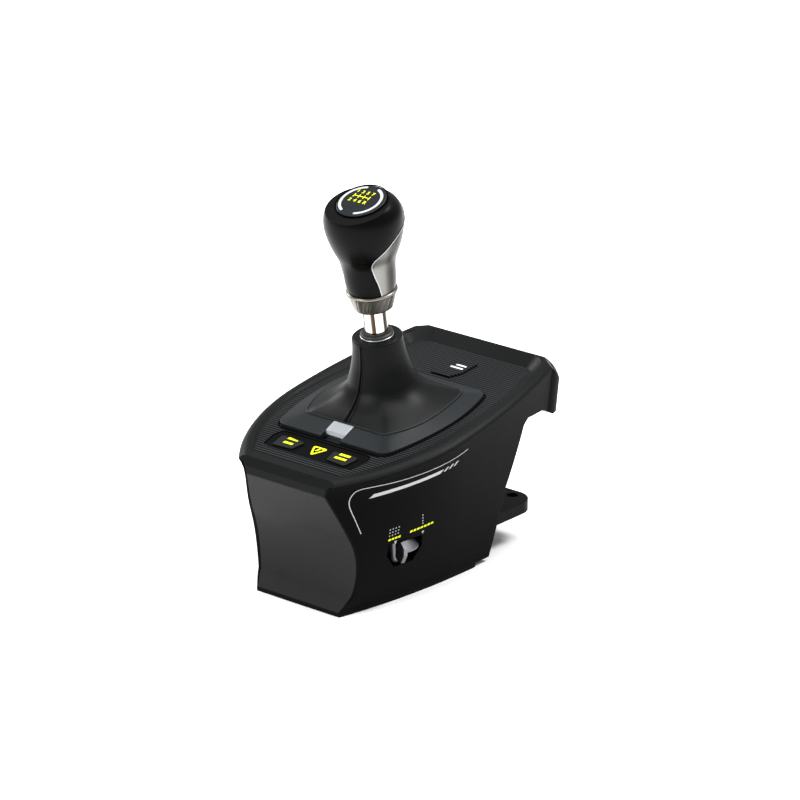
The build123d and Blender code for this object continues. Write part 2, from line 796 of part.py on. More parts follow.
def lay(shape, y, lift):
    """Moves a level shape to the floor plane at y."""
    return floor_plane(y, lift).location * shape


def button(points, y, out):
    """Cap from its top down to its flange."""
    face = cap_sketch(points, y)
    wide = offset(face, flange_w)
    cap = extrude(face, amount=out + flange_top)
    cap = fillet(cap.faces().sort_by(Axis.Z)[-1].edges(), out / 2)
    cap = Pos(0, 0, -flange_top) * cap
    cap += Pos(0, 0, -flange_top - flange_t) * extrude(wide, amount=flange_t)
    return lay(cap, y, 0)


def button_hole(points, y, more=slide_gap):
    """Tool for the hole that a button travels in."""
    face = offset(cap_sketch(points, y), more)
    return lay(Pos(0, 0, -over * 2) * extrude(face, amount=4 * over), y, 0)


buttons = {
    "left_button": (left_cap_points, front_button_y, cap_out),
    "right_button": (right_cap_points, front_button_y, cap_out),
    "rear_button": (rear_cap_points, rear_button_y, rear_cap_out),
}
panel_face = make_face(Polyline(*panel_points, close=True))
panel_tool = extrude(panel_face, amount=2 * sky)
panel = panel_tool & floor_band(panel_drop, mat_t)
panel_seat = extrude(offset(panel_face, seat_gap), amount=2 * sky)
mat = mat_blank & floor_band(0, mat_t)
mat = mat - mat_cut - panel_seat
for name, (points, y, out) in buttons.items():
    hole = button_hole(points, y)
    deck -= hole
    panel -= hole
    mat -= hole
    nodes[name] = button(points, y, out)
nodes["deck_mat"] = mat
nodes["button_panel"] = panel

# Opening for the lever, under the boot
lever_hole_half = 26.0
lever_hole_front_y = -4.0
lever_hole_rear_y = 54.0
deck -= block(-lever_hole_half, lever_hole_half, lever_hole_front_y, lever_hole_rear_y, 0, 2 * sky)

# Button boards, the legs that carry them and the return springs
front_board_half = 38.0
front_board_w = 16.0
front_leg_x = 36.0
rear_board_half = 19.0
rear_board_w = 18.0
rear_leg_x = 16.5
leg_r = 2.0
front_spring_x = 23.0
spring_seats = {
    "left_button": (-front_spring_x, front_button_y),
    "right_button": (front_spring_x, front_button_y),
    "rear_button": (0, rear_button_y),
}
for leg_xs, y in (((-front_leg_x, 0, front_leg_x), front_button_y), ((-rear_leg_x, rear_leg_x), rear_button_y)):
    for leg_x in leg_xs:
        deck += lay(post(leg_r, -board_depth, -mat_t - deck_t / 2, leg_x), y, 0)
nodes["top_deck"] = deck
board_low = -board_depth - board_t
nodes["front_button_board"] = lay(
    block(-front_board_half, front_board_half, -front_board_w / 2, front_board_w / 2,
          board_low, -board_depth), front_button_y, 0)
nodes["rear_button_board"] = lay(
    block(-rear_board_half, rear_board_half, -rear_board_w / 2, rear_board_w / 2,
          board_low, -board_depth), rear_button_y, 0)
for name, (x, y) in spring_seats.items():
    coil = Pos(x, 0, 0) * tube(button_spring_r, button_spring_r - spring_wall,
                               -board_depth, -flange_top - flange_t)
    nodes[name + "_spring"] = lay(coil, y, 0)

# Mechanism frame: foot, uprights with bush seats, side rails and the ledges of the gate plate
frame = block(-upright_half, upright_half, frame_y0, frame_y1, base_t, base_t + frame_foot_t)
upright_points = [(-upright_half, base_t), (upright_half, base_t), (upright_half, upright_shoulder_z),
                  (upright_top_half, pivot_z), (-upright_top_half, pivot_z),
                  (-upright_half, upright_shoulder_z)]
bush_r = pin_r + run_gap + bush_wall
for side in (-1, 1):
    inner_y = pivot_y + side * frame_in
    outer_y = inner_y + side * upright_t
    low_y, high_y = min(inner_y, outer_y), max(inner_y, outer_y)
    upright = extrude(Face(Wire(chain([Vector(x, high_y, z) for x, z in upright_points]))),
                      amount=upright_t, dir=(0, -1, 0))
    upright += bar_y(upright_top_half, low_y, high_y, 0, pivot_z)
    upright -= bar_y(bush_r + fit_gap, low_y - over, high_y + over, 0, pivot_z)
    frame += upright
    near_y, far_y = sorted((inner_y, inner_y - side * ledge_reach))
    frame += block(-gate_half, gate_half, near_y, far_y, gate_z - ledge_t, gate_z)
rail_y0 = pivot_y - frame_in - upright_t / 2
rail_y1 = pivot_y + frame_in + upright_t / 2
for side in (-1, 1):
    x0, x1 = sorted((side * rail_in, side * upright_half))
    frame += block(x0, x1, rail_y0, rail_y1, rail_z, rail_z + rail_t)
frame -= spread(post(frame_screw_r + fit_gap, 0, base_t + frame_foot_t + over), frame_screw_places)
gate_y0 = pivot_y - frame_in + seat_gap
gate_y1 = pivot_y + frame_in - seat_gap
gate_screw_places = [(x, y) for x in (-gate_screw_x, gate_screw_x)
                     for y in (gate_y0 + gate_screw_in, gate_y1 - gate_screw_in)]
gate_bolt = turned([(0, gate_z - ledge_t), (small_screw_r, gate_z - ledge_t),
                    (small_screw_r, gate_z + gate_t), (small_head_r, gate_z + gate_t),
                    (small_head_r, gate_z + gate_t + small_head_t), (0, gate_z + gate_t + small_head_t)])
gate_drill = post(small_screw_r + fit_gap, gate_z - 2 * ledge_t, gate_z + gate_t + over)
frame -= spread(gate_drill, gate_screw_places)
nodes["mechanism_frame"] = frame

# Gate plate: cross slot and four gear planes
gate = block(-gate_half, gate_half, gate_y0, gate_y1, gate_z, gate_z + gate_t)
plane_counts = (-1, 0, 1, 2)
for count in plane_counts:
    x = gate_plane_x * count
    slot_w = gate_slot_w / 2
    gate -= block(x - slot_w, x + slot_w, gate_front_y + slot_w, gate_rear_y - slot_w,
                  gate_z - over, gate_z + gate_t + over)
    for end_y in (gate_front_y + slot_w, gate_rear_y - slot_w):
        gate -= post(slot_w, gate_z - over, gate_z + gate_t + over, x, end_y)
x0, x1 = sorted((gate_plane_x * plane_counts[0], gate_plane_x * plane_counts[-1]))
gate -= block(x0, x1, gate_cross_y - gate_cross_w / 2, gate_cross_y + gate_cross_w / 2,
              gate_z - over, gate_z + gate_t + over)
gate -= spread(gate_drill, gate_screw_places)
nodes["gate_plate"] = gate
nodes["gate_screws"] = spread(gate_bolt, gate_screw_places)

# Cradle: ring with trunnions along Y, bushes for the shift axle along X
ring = block(-ring_half, ring_half, pivot_y - ring_half, pivot_y + ring_half,
             pivot_z - ring_half_h, pivot_z + ring_half_h)
ring = fillet(ring.edges().filter_by(Axis.Z), ring_corner_r)
ring -= block(-ring_bore_half, ring_bore_half, pivot_y - ring_bore_half, pivot_y + ring_bore_half,
              pivot_z - sky, pivot_z + sky)
for side in (-1, 1):
    y0, y1 = sorted((pivot_y + side * (ring_bore_half + ring_half) / 2, pivot_y + side * trunnion_end))
    ring += bar_y(pin_r, y0, y1, 0, pivot_z)
    lug_end = axle_half + magnet_t + sensor_gap
    for lug_y in (pivot_y - sensor_lug_x, pivot_y + sensor_lug_x):
        if side > 0:
            ring += bar_x(sensor_lug_r, ring_half - over / 2, lug_end, lug_y, pivot_z)
ring -= bar_x(bush_r + fit_gap, -sky, sky, pivot_y, pivot_z)
ring -= bar_y(plunger_r + fit_gap, pivot_y - plunger_end - over, pivot_y, 0, pivot_z)


def ring_y(r_out, r_in, y0, y1, z):
    """Tube along Y on the mid plane."""
    return bar_y(r_out, y0, y1, 0, z) - bar_y(r_in, y0 - over, y1 + over, 0, z)


def ring_x(r_out, r_in, x0, x1, y, z):
    """Tube along X."""
    return bar_x(r_out, x0, x1, y, z) - bar_x(r_in, x0 - over, x1 + over, y, z)


nodes["cradle"] = ring
axle_flange_t = ring_bore_half - hub_half - slide_gap
trunnion_parts = []
axle_parts = []
for side in (-1, 1):
    inner_y = pivot_y + side * frame_in
    y0, y1 = sorted((inner_y, inner_y + side * upright_t))
    sleeve = ring_y(bush_r, pin_r + run_gap, y0, y1, pivot_z)
    y0, y1 = sorted((inner_y, inner_y - side * bush_flange_t))
    trunnion_parts.append(sleeve + ring_y(bush_r + bush_flange, pin_r + run_gap, y0, y1, pivot_z))
    x0, x1 = sorted((side * ring_bore_half, side * ring_half))
    sleeve = ring_x(bush_r, pin_r + run_gap, x0, x1, pivot_y, pivot_z)
    x0, x1 = sorted((side * ring_bore_half, side * (ring_bore_half - axle_flange_t)))
    axle_parts.append(sleeve + ring_x(bush_r + bush_flange, pin_r + run_gap, x0, x1, pivot_y, pivot_z))
nodes["trunnion_bushes"] = Compound(trunnion_parts)
nodes["axle_bushes"] = Compound(axle_parts)

# Lever below the boot: hub on the shift axle, shaft socket above and arm with the gate pin below
hub = bar_x(hub_r, -hub_half, hub_half, pivot_y, pivot_z)
hub += on_lever(turned([(0, 0), (hub_boss_r, 0), (hub_boss_r, hub_boss_s), (0, hub_boss_s)]))
hub += on_lever(turned([(0, -hub_low_s), (hub_low_r, -hub_low_s), (hub_low_r, 0), (0, 0)]))
hub -= on_lever(post(shaft_r + fit_gap, shaft_low_s, hub_boss_s + over))
hub -= on_lever(post(arm_r + fit_gap, -hub_low_s - over, -arm_top_s))
hub -= bar_x(pin_r + fit_gap, -sky, sky, pivot_y, pivot_z)
nodes["lever_hub"] = hub
nodes["shift_axle"] = bar_x(pin_r, -axle_half, axle_half, pivot_y, pivot_z)
nodes["lever_arm"] = on_lever(turned([
    (0, -arm_top_s), (0, -gate_pin_s), (gate_pin_r, -gate_pin_s), (gate_pin_r, -arm_end_s - arm_r),
    (arm_r, -arm_end_s), (arm_r, -arm_top_s),
]))
nodes["lever_shaft"] = on_lever(turned([
    (0, shaft_low_s), (shaft_r, shaft_low_s), (shaft_r, shaft_top_s), (stud_r, shaft_top_s),
    (stud_r, stud_top_s), (0, stud_top_s),
]))
plunger_plane = Plane(origin=(0, pivot_y, pivot_z), x_dir=(1, 0, 0), z_dir=(0, -1, 0))
nodes["detent_plunger"] = plunger_plane.location * turned([
    (0, plunger_tip), (plunger_tip_r, plunger_tip), (plunger_r, plunger_cone),
    (plunger_r, plunger_end), (0, plunger_end),
])

# Centring springs between the side rails and the cradle
spring_low_z = rail_z + rail_t
spring_high_z = pivot_z - ring_half_h
for name, side in (("centring_spring_left", -1), ("centring_spring_right", 1)):
    coil = tube(centring_spring_r, centring_spring_r - spring_wall, spring_low_z, spring_high_z)
    nodes[name] = Pos(side * centring_spring_x, pivot_y, 0) * coil

# Magnets and the boards that read them
nodes["shift_magnet"] = bar_x(magnet_r, axle_half, axle_half + magnet_t, pivot_y, pivot_z)
select_end = pivot_y + trunnion_end
nodes["select_magnet"] = bar_y(magnet_r, select_end, select_end + magnet_t, 0, pivot_z)
board_x = axle_half + magnet_t + sensor_gap
shift_board_half = sensor_lug_x + sensor_lug_r
nodes["shift_sensor_board"] = block(
    board_x, board_x + board_t, pivot_y - shift_board_half, pivot_y + shift_board_half,
    pivot_z - ring_half_h, pivot_z + ring_half_h)
board_y = select_end + magnet_t + sensor_gap
board_legs = []
for side in (-1, 1):
    board_legs.append(bar_y(sensor_lug_r, pivot_y + frame_in + upright_t, board_y,
                            side * (upright_top_half - sensor_lug_r), pivot_z))
nodes["select_sensor_legs"] = Compound(board_legs)
nodes["select_sensor_board"] = block(
    -upright_top_half, upright_top_half, board_y, board_y + board_t,
    pivot_z - sensor_half, pivot_z + sensor_half)

# Mode selector: cup in the right wall, lever with its disc and blade, pin, detent and board
cup_space = Pos(mode_x, mode_y, 0) * turned([
    (0, cup_low_z), (cup_low_r, cup_low_z), (cup_r, cup_bend_z), (cup_r, cup_top_z), (0, cup_top_z)])
cup = post(cup_r + cup_wall, cup_low_z - cup_wall, cup_top_z + cup_wall, mode_x, mode_y) & inner_hull
cup -= cup_space
cup -= post(mode_pin_r + fit_gap, -over, sky, mode_x, mode_y)
detent_z = (cup_low_z + disc_z) / 2
cup -= bar_x(detent_r + fit_gap, 0, mode_x, mode_y, detent_z)
nodes["selector_cup"] = cup
lever_top_z = cup_top_z - mode_gap
selector = turned([(0, disc_z), (disc_r, disc_z), (disc_r, disc_z + disc_edge_t),
                   (disc_top_r, lever_top_z), (0, lever_top_z)])
selector -= block(-2 * disc_r, 2 * disc_r, -2 * disc_r, -blade_t / 2, 0, sky)
blade_points = [(0, blade_root_z), (blade_low_r, blade_low_z), (blade_foot_r, blade_low_z),
                (blade_reach, blade_bend_z), (blade_reach, blade_high_z),
                (disc_top_r, lever_top_z), (0, lever_top_z)]
blade_side = [Vector(x, blade_t / 2, z) for x, z in blade_points]
selector += extrude(Face(Wire(chain(blade_side))), amount=blade_t, dir=(0, -1, 0))
selector = Pos(mode_x, mode_y, 0) * Rot(0, 0, blade_angle) * selector
selector += post(mode_hub_r, cup_low_z + mode_gap, lever_top_z, mode_x, mode_y)
selector -= post(mode_pin_r + run_gap, 0, sky, mode_x, mode_y)
nodes["mode_lever"] = selector
nodes["mode_pin"] = post(mode_pin_r, cup_low_z - cup_wall, cup_top_z + cup_wall, mode_x, mode_y)
nodes["mode_detent"] = bar_x(detent_r, mode_x - cup_r - cup_wall, mode_x - mode_hub_r - mode_gap,
                             mode_y, detent_z)
nodes["mode_switch_board"] = block(
    mode_x - mode_board_half, mode_x + mode_hub_r, mode_y - mode_board_half, mode_y + mode_board_half,
    cup_top_z + cup_wall, cup_top_z + cup_wall + board_t)

# Rear inlet socket and main board
port = block(port_x - port_half_w, port_x + port_half_w, port_wall_y - port_depth, port_wall_y,
             port_z - port_half_h, port_z + port_half_h)
flange_y = port_wall_y - wall - port_flange
port += block(port_x - port_half_w - port_flange, port_x + port_half_w + port_flange,
              flange_y - port_flange, flange_y,
              port_z - port_half_h - port_flange, port_z + port_half_h + port_flange)
port -= block(port_x - port_mouth_half, port_x + port_mouth_half,
              port_wall_y - port_depth + port_flange * 2, port_wall_y + over,
              port_z - port_mouth_h, port_z + port_mouth_h)
nodes["rear_inlet"] = port
board = block(-main_half, main_half, main_front_y, main_rear_y, main_z, main_z + board_t)
chip_y = (main_front_y + main_rear_y) / 2
board += block(-chip_half, chip_half, chip_y - chip_half, chip_y + chip_half,
               main_z + board_t, main_z + board_t + chip_t)
nodes["main_board"] = board
main_legs = [(x, y) for x in (-main_half + main_leg_in, main_half - main_leg_in)
             for y in (main_front_y + main_leg_in, main_rear_y - main_leg_in)]
nodes["board_standoffs"] = spread(post(main_leg_r, base_t, main_z), main_legs)

# Boot: a skirt on the housing and a sleeve on the lever, both hollow
boot_t = 1.6
skirt_gap = 0.4
skirt_low_lift = -0.9
skirt_mid_lift = 6.0
skirt_high_lift = 19.5
skirt_top_lift = 26.3
skirt_mid_half = 27.5
skirt_top_half = 25.2
boot_axis_y = 23.7
boot_side_r = 70.0
boot_corner_share = 0.82
sleeve_low_s = 63.8
sleeve_top_s = 91.0
sleeve_low_r = 24.9
sleeve_r_shares = (1.0, 0.904, 0.779, 0.691, 0.562)
sleeve_s_shares = (0.0, 0.246, 0.54, 0.835, 1.0)
sleeve_hole_r = 8.6


def boot_ring_face(half, lift, inset):
    """Rounded section of the skirt above the bezel."""
    size = half - inset
    outline = Outline(half=size, wide_y=boot_axis_y, front_r=boot_side_r, rear_r=boot_side_r)
    face = tray_sketch(outline, boot_axis_y - size, boot_axis_y + size, size * boot_corner_share)
    return on_floor(face, lift).face()


def boot_foot_face(lift, inset):
    """Section of the skirt inside the bezel."""
    more = bead_w + skirt_gap + inset
    outline = Outline(half=bead_outline.half - more, wide_y=bead_outline.wide_y,
                      front_r=bead_outline.front_r - more, rear_r=bead_outline.rear_r - more)
    face = tray_sketch(outline, bead_front_y + more, bead_rear_y - more, bead_corner_r)
    return on_floor(face, lift).face()


def skirt(inset, extra):
    """Skirt's outer or inner surface as a solid; extra lengthens it at both ends."""
    foot = boot_foot_face(skirt_low_lift - extra, inset)
    low = extrude(foot, amount=skirt_mid_lift - skirt_low_lift + extra, dir=bezel_spot.z_dir)
    high = loft([
        boot_foot_face(skirt_mid_lift, inset),
        boot_ring_face(skirt_mid_half, skirt_high_lift, inset),
        boot_ring_face(skirt_top_half, skirt_top_lift, inset),
    ], ruled=True)
    return low + high


nodes["boot_skirt"] = skirt(0, 0) - skirt(boot_t, over / 2)
sleeve_radii = [(sleeve_low_r * r_share, sleeve_low_s + (sleeve_top_s - sleeve_low_s) * s_share)
                for r_share, s_share in zip(sleeve_r_shares, sleeve_s_shares)]
sleeve_inner = [(r - boot_t, s - boot_t / 2) for r, s in sleeve_radii]
sleeve_inner[0] = (sleeve_radii[0][0] - boot_t, sleeve_low_s)
sleeve_inner[-1] = (sleeve_radii[-1][0] - boot_t, sleeve_top_s - boot_t)
nodes["boot_sleeve"] = on_lever(turned(
    sleeve_radii + [(sleeve_hole_r, sleeve_top_s), (sleeve_hole_r, sleeve_top_s - boot_t)]
    + sleeve_inner[::-1]))
ring_out_r = 11.1
ring_t = 3.0
ring_bevel = 0.8
bush_out_r = 9.3
bush_t = 1.2
ring_top_s = sleeve_top_s + ring_t
nodes["boot_ring"] = on_lever(turned([
    (shaft_r + fit_gap, sleeve_top_s), (ring_out_r, sleeve_top_s), (ring_out_r, ring_top_s - ring_bevel),
    (ring_out_r - ring_bevel, ring_top_s), (shaft_r + fit_gap, ring_top_s),
]))
nodes["shaft_bush"] = on_lever(tube(bush_out_r, shaft_r + fit_gap, ring_top_s, ring_top_s + bush_t))

# Knob: ferrule, core, grip with a separate back, and the cap disc that faces the driver
ferrule_low_s = 112.0
ferrule_low_r = 13.4
ferrule_high_s = 124.0
ferrule_high_r = 17.3
ferrule_top_s = 125.6
ferrule_top_r = 16.7
core_r = 10.0
core_top_s = 168.0
head_r = 26.8
head_s = 175.0
head_top_s = 193.5
cap_s = 188.6
cap_tilt = 12.0
cap_r = 17.4
cap_t = 2.4
cap_rise = 0.7
cap_gap = 0.25
neck_r_shares = (0.604, 0.657, 0.709, 0.802, 0.929, 1.0, 0.94, 0.728)
neck_s_shares = (0.0, 0.183, 0.33, 0.418, 0.558, 0.728, 0.86, 0.957)
back_y_shares = (-0.246, -0.321, -0.429, -0.485, -0.373, -0.187, 0.052, 0.634, 0.896, 1.119)
back_s_shares = (-0.074, 0.109, 0.256, 0.418, 0.477, 0.551, 0.624, 0.728, 0.845, 0.948)


def knob_places(across_shares, along_shares):
    """Points of the knob's side view, as shares of its radius and of its length."""
    length = head_top_s - ferrule_top_s
    return [(head_r * r, ferrule_top_s + length * s) for r, s in zip(across_shares, along_shares)]


neck_places = knob_places(neck_r_shares, neck_s_shares)
back_places = knob_places(back_y_shares, back_s_shares)

ferrule = turned([
    (shaft_r + fit_gap, ferrule_low_s), (ferrule_low_r, ferrule_low_s), (ferrule_high_r, ferrule_high_s),
    (ferrule_top_r, ferrule_top_s), (shaft_r + fit_gap, ferrule_top_s),
])
nodes["knob_ferrule"] = on_lever(ferrule)
core = turned([
    (shaft_r + fit_gap, ferrule_top_s), (core_r, ferrule_top_s), (core_r, core_top_s), (0, core_top_s),
    (0, stud_top_s + fit_gap), (stud_r + fit_gap, stud_top_s + fit_gap),
    (stud_r + fit_gap, shaft_top_s + fit_gap), (shaft_r + fit_gap, shaft_top_s + fit_gap),
])
nodes["knob_core"] = on_lever(core)
side_curve = Spline(*[rs(r, s) for r, s in neck_places])
dome = ThreePointArc(rs(*neck_places[-1]), rs(neck_places[-1][0] / 2, head_top_s - cap_rise),
                     rs(0, head_top_s))
head = revolve(Face(Wire([
    Line(rs(0, ferrule_top_s), rs(neck_places[0][0], ferrule_top_s)), side_curve, dome,
    Line(rs(0, head_top_s), rs(0, ferrule_top_s)),
])), axis=Axis.Z)
head -= post(core_r + fit_gap, ferrule_top_s - over, core_top_s + fit_gap)
cap_plane = Plane(origin=(0, 0, cap_s), x_dir=(1, 0, 0),
                  z_dir=(0, -sin(radians(cap_tilt)), cos(radians(cap_tilt))))
head -= cap_plane.location * block(-broad, broad, -broad, broad, 0, sky)
head -= cap_plane.location * post(cap_r + cap_gap, -cap_t, over)
back_edge = Spline(*[yz(y, s) for y, s in back_places])
back_far = 2 * head_r
back_region = prism([
    back_edge, Line(yz(*back_places[-1]), yz(back_far, back_places[-1][1])),
    Line(yz(back_far, back_places[-1][1]), yz(back_far, back_places[0][1])),
    Line(yz(back_far, back_places[0][1]), yz(*back_places[0])),
])
nodes["knob_grip"] = on_lever(head - back_region)
nodes["knob_back_insert"] = on_lever(head & back_region)
disc = post(cap_r, -cap_t, cap_rise)
disc = fillet(disc.faces().sort_by(Axis.Z)[-1].edges(), cap_rise)
nodes["knob_cap"] = on_lever(cap_plane.location * disc)

for name, shape in nodes.items():
    export_step(shape if isinstance(shape, Compound) else Compound([shape]), f"parts/{name}.step")
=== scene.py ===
"""Looks of a desk-clamped gear shifter for racing simulators.

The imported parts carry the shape. This script dresses them in the finishes of the real pieces and
adds what is formed on the surface: the boot, its piping and seam, the printed marks and the head
of the knob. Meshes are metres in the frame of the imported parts, +Z up and -Y toward the driver.
The fields of the classes are millimetres and radians, unless they say otherwise.
"""
import json
import logging
import math
from dataclasses import dataclass
from enum import Enum, IntEnum
from functools import cached_property

import bpy
import numpy as np
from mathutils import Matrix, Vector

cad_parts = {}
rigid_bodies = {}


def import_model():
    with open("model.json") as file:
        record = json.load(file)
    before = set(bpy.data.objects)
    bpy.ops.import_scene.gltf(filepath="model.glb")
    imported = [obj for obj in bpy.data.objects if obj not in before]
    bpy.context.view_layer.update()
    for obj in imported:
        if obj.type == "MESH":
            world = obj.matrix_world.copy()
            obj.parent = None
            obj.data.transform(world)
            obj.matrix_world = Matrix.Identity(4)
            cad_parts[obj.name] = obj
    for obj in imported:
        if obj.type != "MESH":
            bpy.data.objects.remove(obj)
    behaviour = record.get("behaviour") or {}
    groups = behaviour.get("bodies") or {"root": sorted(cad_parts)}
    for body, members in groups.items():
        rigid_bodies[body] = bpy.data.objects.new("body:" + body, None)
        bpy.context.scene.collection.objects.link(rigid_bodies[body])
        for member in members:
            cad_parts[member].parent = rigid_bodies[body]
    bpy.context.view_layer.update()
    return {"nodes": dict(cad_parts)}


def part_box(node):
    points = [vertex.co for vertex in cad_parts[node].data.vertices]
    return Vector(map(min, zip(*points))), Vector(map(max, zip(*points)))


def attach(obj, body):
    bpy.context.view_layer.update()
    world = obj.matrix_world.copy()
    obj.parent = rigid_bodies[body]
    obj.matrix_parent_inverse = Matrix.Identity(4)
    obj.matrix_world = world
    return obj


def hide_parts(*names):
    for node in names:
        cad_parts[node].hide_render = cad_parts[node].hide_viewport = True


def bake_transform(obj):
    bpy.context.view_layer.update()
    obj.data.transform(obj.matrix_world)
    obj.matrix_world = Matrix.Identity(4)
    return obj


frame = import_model()

LOG = logging.getLogger("shifter")
MM = 0.001
TURN = 2 * math.pi

# Most grains are finer than a pixel of the render, so they are drawn this much coarser
GRAIN_COARSER = 6.0
# No surface is glossier than a polished bar, and an edge's rounding is mixed from a few samples
LEAST_ROUGHNESS = 0.02
EDGE_SAMPLES = 6
# A new colour ramp comes with two stops
FIRST_STOPS = 2

# The pivot of the lever and its lean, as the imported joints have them
PIVOT = np.array([0.0, 30.0, 78.0]) * MM
LEAN = math.radians(9.0)
LEVER_X = np.array([1.0, 0.0, 0.0])
LEVER_Y = np.array([0.0, math.cos(LEAN), math.sin(LEAN)])
LEVER_Z = np.array([0.0, -math.sin(LEAN), math.cos(LEAN)])

# The tray floor in side view: front and rear of its chord and its crown
FLOOR_FRONT = (-66.0, 100.3)
FLOOR_REAR = (121.0, 125.3)
FLOOR_CROWN = 1.7
# Where the axis of the boot meets the tray
BOOT_AXIS_Y = 23.9

# A cord's section is turned from this direction, which no cord here runs along
CORD_UP = np.array([0.0, 0.17, 0.98])
CORD_STEPS = 8

Points = tuple[tuple[float, float], ...]
Tree = bpy.types.NodeTree
Socket = bpy.types.NodeSocket


class Body(str, Enum):
    """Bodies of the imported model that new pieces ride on."""

    HOUSING = "housing"
    LEVER = "lever"
    LEFT = "left_button"
    RIGHT = "right_button"
    REAR = "rear_button"


class Slot(str, Enum):
    """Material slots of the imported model."""

    BLACK = "black_abs"
    GRAPHITE = "graphite_abs"
    KEY = "button_abs"
    MAT = "mat_rubber"
    LEATHER = "leatherette"
    GRIP = "grip_polymer"
    ALLOY = "satin_alloy"


class Axis(IntEnum):
    """Axis that a surface is read along."""

    X = 0
    Z = 2


# Numbers and grids


def linear(hex_code: str) -> tuple[float, float, float, float]:
    """Turns an sRGB hex value to linear light: a straight part near black, a power of 2.4 above it.

    Args:
        hex_code: Six hex digits, red, green and blue.

    Returns:
        Linear red, green, blue and an alpha of one.
    """
    values = [int(hex_code[i : i + 2], 16) / 255 for i in (0, 2, 4)]
    low = [v / 12.92 if v <= 0.04045 else ((v + 0.055) / 1.055) ** 2.4 for v in values]
    return (low[0], low[1], low[2], 1.0)


def full_turn(steps: int) -> np.ndarray:
    """Angles of even steps round a full turn, in radians, the last one left out."""
    return np.arange(steps) / steps * TURN


def floor_height(y_mm: np.ndarray | float) -> np.ndarray | float:
    """Height of the tray floor: the chord plus a parabola that is the crown at mid length.

    Args:
        y_mm: Places along Y in millimetres.

    Returns:
        Heights in millimetres.
    """
    share = (np.asarray(y_mm) - FLOOR_FRONT[0]) / (FLOOR_REAR[0] - FLOOR_FRONT[0])
    chord = FLOOR_FRONT[1] + share * (FLOOR_REAR[1] - FLOOR_FRONT[1])
    return chord + 4 * FLOOR_CROWN * share * (1 - share)


def floor_basis(y_mm: float) -> tuple[np.ndarray, np.ndarray, np.ndarray]:
    """Point on the tray floor with its two directions, along the slope and away from it.

    Args:
        y_mm: Place along Y in millimetres.

    Returns:
        Origin in metres, the direction toward the rear and the normal.
    """
    rise = float(floor_height(y_mm + 0.5) - floor_height(y_mm - 0.5))
    size = math.hypot(1.0, rise)
    origin = np.array([0.0, y_mm, float(floor_height(y_mm))]) * MM
    return origin, np.array([0.0, 1 / size, rise / size]), np.array([0.0, -rise / size, 1 / size])


def eased(x: np.ndarray, xs: tuple[float, ...], ys: tuple[float, ...]) -> np.ndarray:
    """Curve through given points with the mean slope of the neighbouring chords at each (cubic Hermite).

    Args:
        x: Places to read.
        xs: Rising places of the points.
        ys: Values of the points.

    Returns:
        Values at x.
    """
    px, py = np.asarray(xs, float), np.asarray(ys, float)
    slope = np.diff(py) / np.diff(px)
    tangent = np.concatenate([slope[:1], (slope[1:] + slope[:-1]) / 2, slope[-1:]])
    i = np.clip(np.searchsorted(px, x) - 1, 0, len(px) - 2)
    h = px[i + 1] - px[i]
    t = (np.asarray(x) - px[i]) / h
    a, b = (1 + 2 * t) * (1 - t) ** 2, t * t * (3 - 2 * t)
    c, d = t * (1 - t) ** 2, t * t * (t - 1)
    return a * py[i] + b * py[i + 1] + (c * tangent[i] + d * tangent[i + 1]) * h


def mesh_object(name: str, verts: np.ndarray, faces: list, body: Body | None) -> bpy.types.Object:
    """Makes a smooth mesh object at the origin that rides on a body.

    Args:
        name: Name of the piece.
        verts: Points, N by 3, in metres.
        faces: Faces as tuples of indices.
        body: The body that it rides on, or None to leave the piece on no body.

    Returns:
        The new object.
    """
    mesh = bpy.data.meshes.new(name)
    mesh.from_pydata(verts.tolist(), [], faces)
    mesh.validate()
    mesh.shade_smooth()
    piece = bpy.data.objects.new(name, mesh)
    bpy.context.scene.collection.objects.link(piece)
    if body is not None:
        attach(piece, body.value)
    return piece


def grid_faces(rows: int, cols: int, wrap_rows: bool, wrap_cols: bool) -> list:
    """Quads of a grid of points that are numbered row by row.

    Args:
        rows: Number of rows.
        cols: Number of columns.
        wrap_rows: True where the last row joins the first.
        wrap_cols: True where the last column joins the first.

    Returns:
        Faces as lists of four indices.
    """
    r = np.arange(rows if wrap_rows else rows - 1)
    c = np.arange(cols if wrap_cols else cols - 1)
    rr, cc = np.meshgrid(r, c, indexing="ij")
    r2, c2 = (rr + 1) % rows, (cc + 1) % cols
    quads = np.stack([rr * cols + cc, rr * cols + c2, r2 * cols + c2, r2 * cols + cc], axis=-1)
    return quads.reshape(-1, 4).tolist()


def grid_object(
    name: str, points: np.ndarray, body: Body | None, wrap_rows: bool = False, wrap_cols: bool = True
) -> bpy.types.Object:
    """Makes an object of a grid of points, rows by columns by 3, in metres."""
    rows, cols = points.shape[:2]
    return mesh_object(name, points.reshape(-1, 3), grid_faces(rows, cols, wrap_rows, wrap_cols), body)


def circle(angle: np.ndarray) -> np.ndarray:
    """Points of a circle of radius one at each angle: cos a, sin a."""
    return np.stack([np.cos(angle), np.sin(angle)], axis=-1)


def turned_grid(profile: np.ndarray, steps: int) -> np.ndarray:
    """Profile of radius and height carried round the lever's axis: r cos a, r sin a, s.

    Args:
        profile: N by 2, radius and distance from the pivot, in millimetres.
        steps: Number of columns round the axis.

    Returns:
        Grid N by steps by 3 in the lever's own directions, in millimetres.
    """
    angle = full_turn(steps)
    r, s = profile[:, :1], profile[:, 1:]
    return np.stack([r * np.cos(angle), r * np.sin(angle), s + 0 * angle], axis=-1)


def on_lever(points: np.ndarray) -> np.ndarray:
    """Places points given in the lever's directions, in millimetres, into the frame in metres."""
    p = np.asarray(points) * MM
    return PIVOT + p[..., :1] * LEVER_X + p[..., 1:2] * LEVER_Y + p[..., 2:3] * LEVER_Z


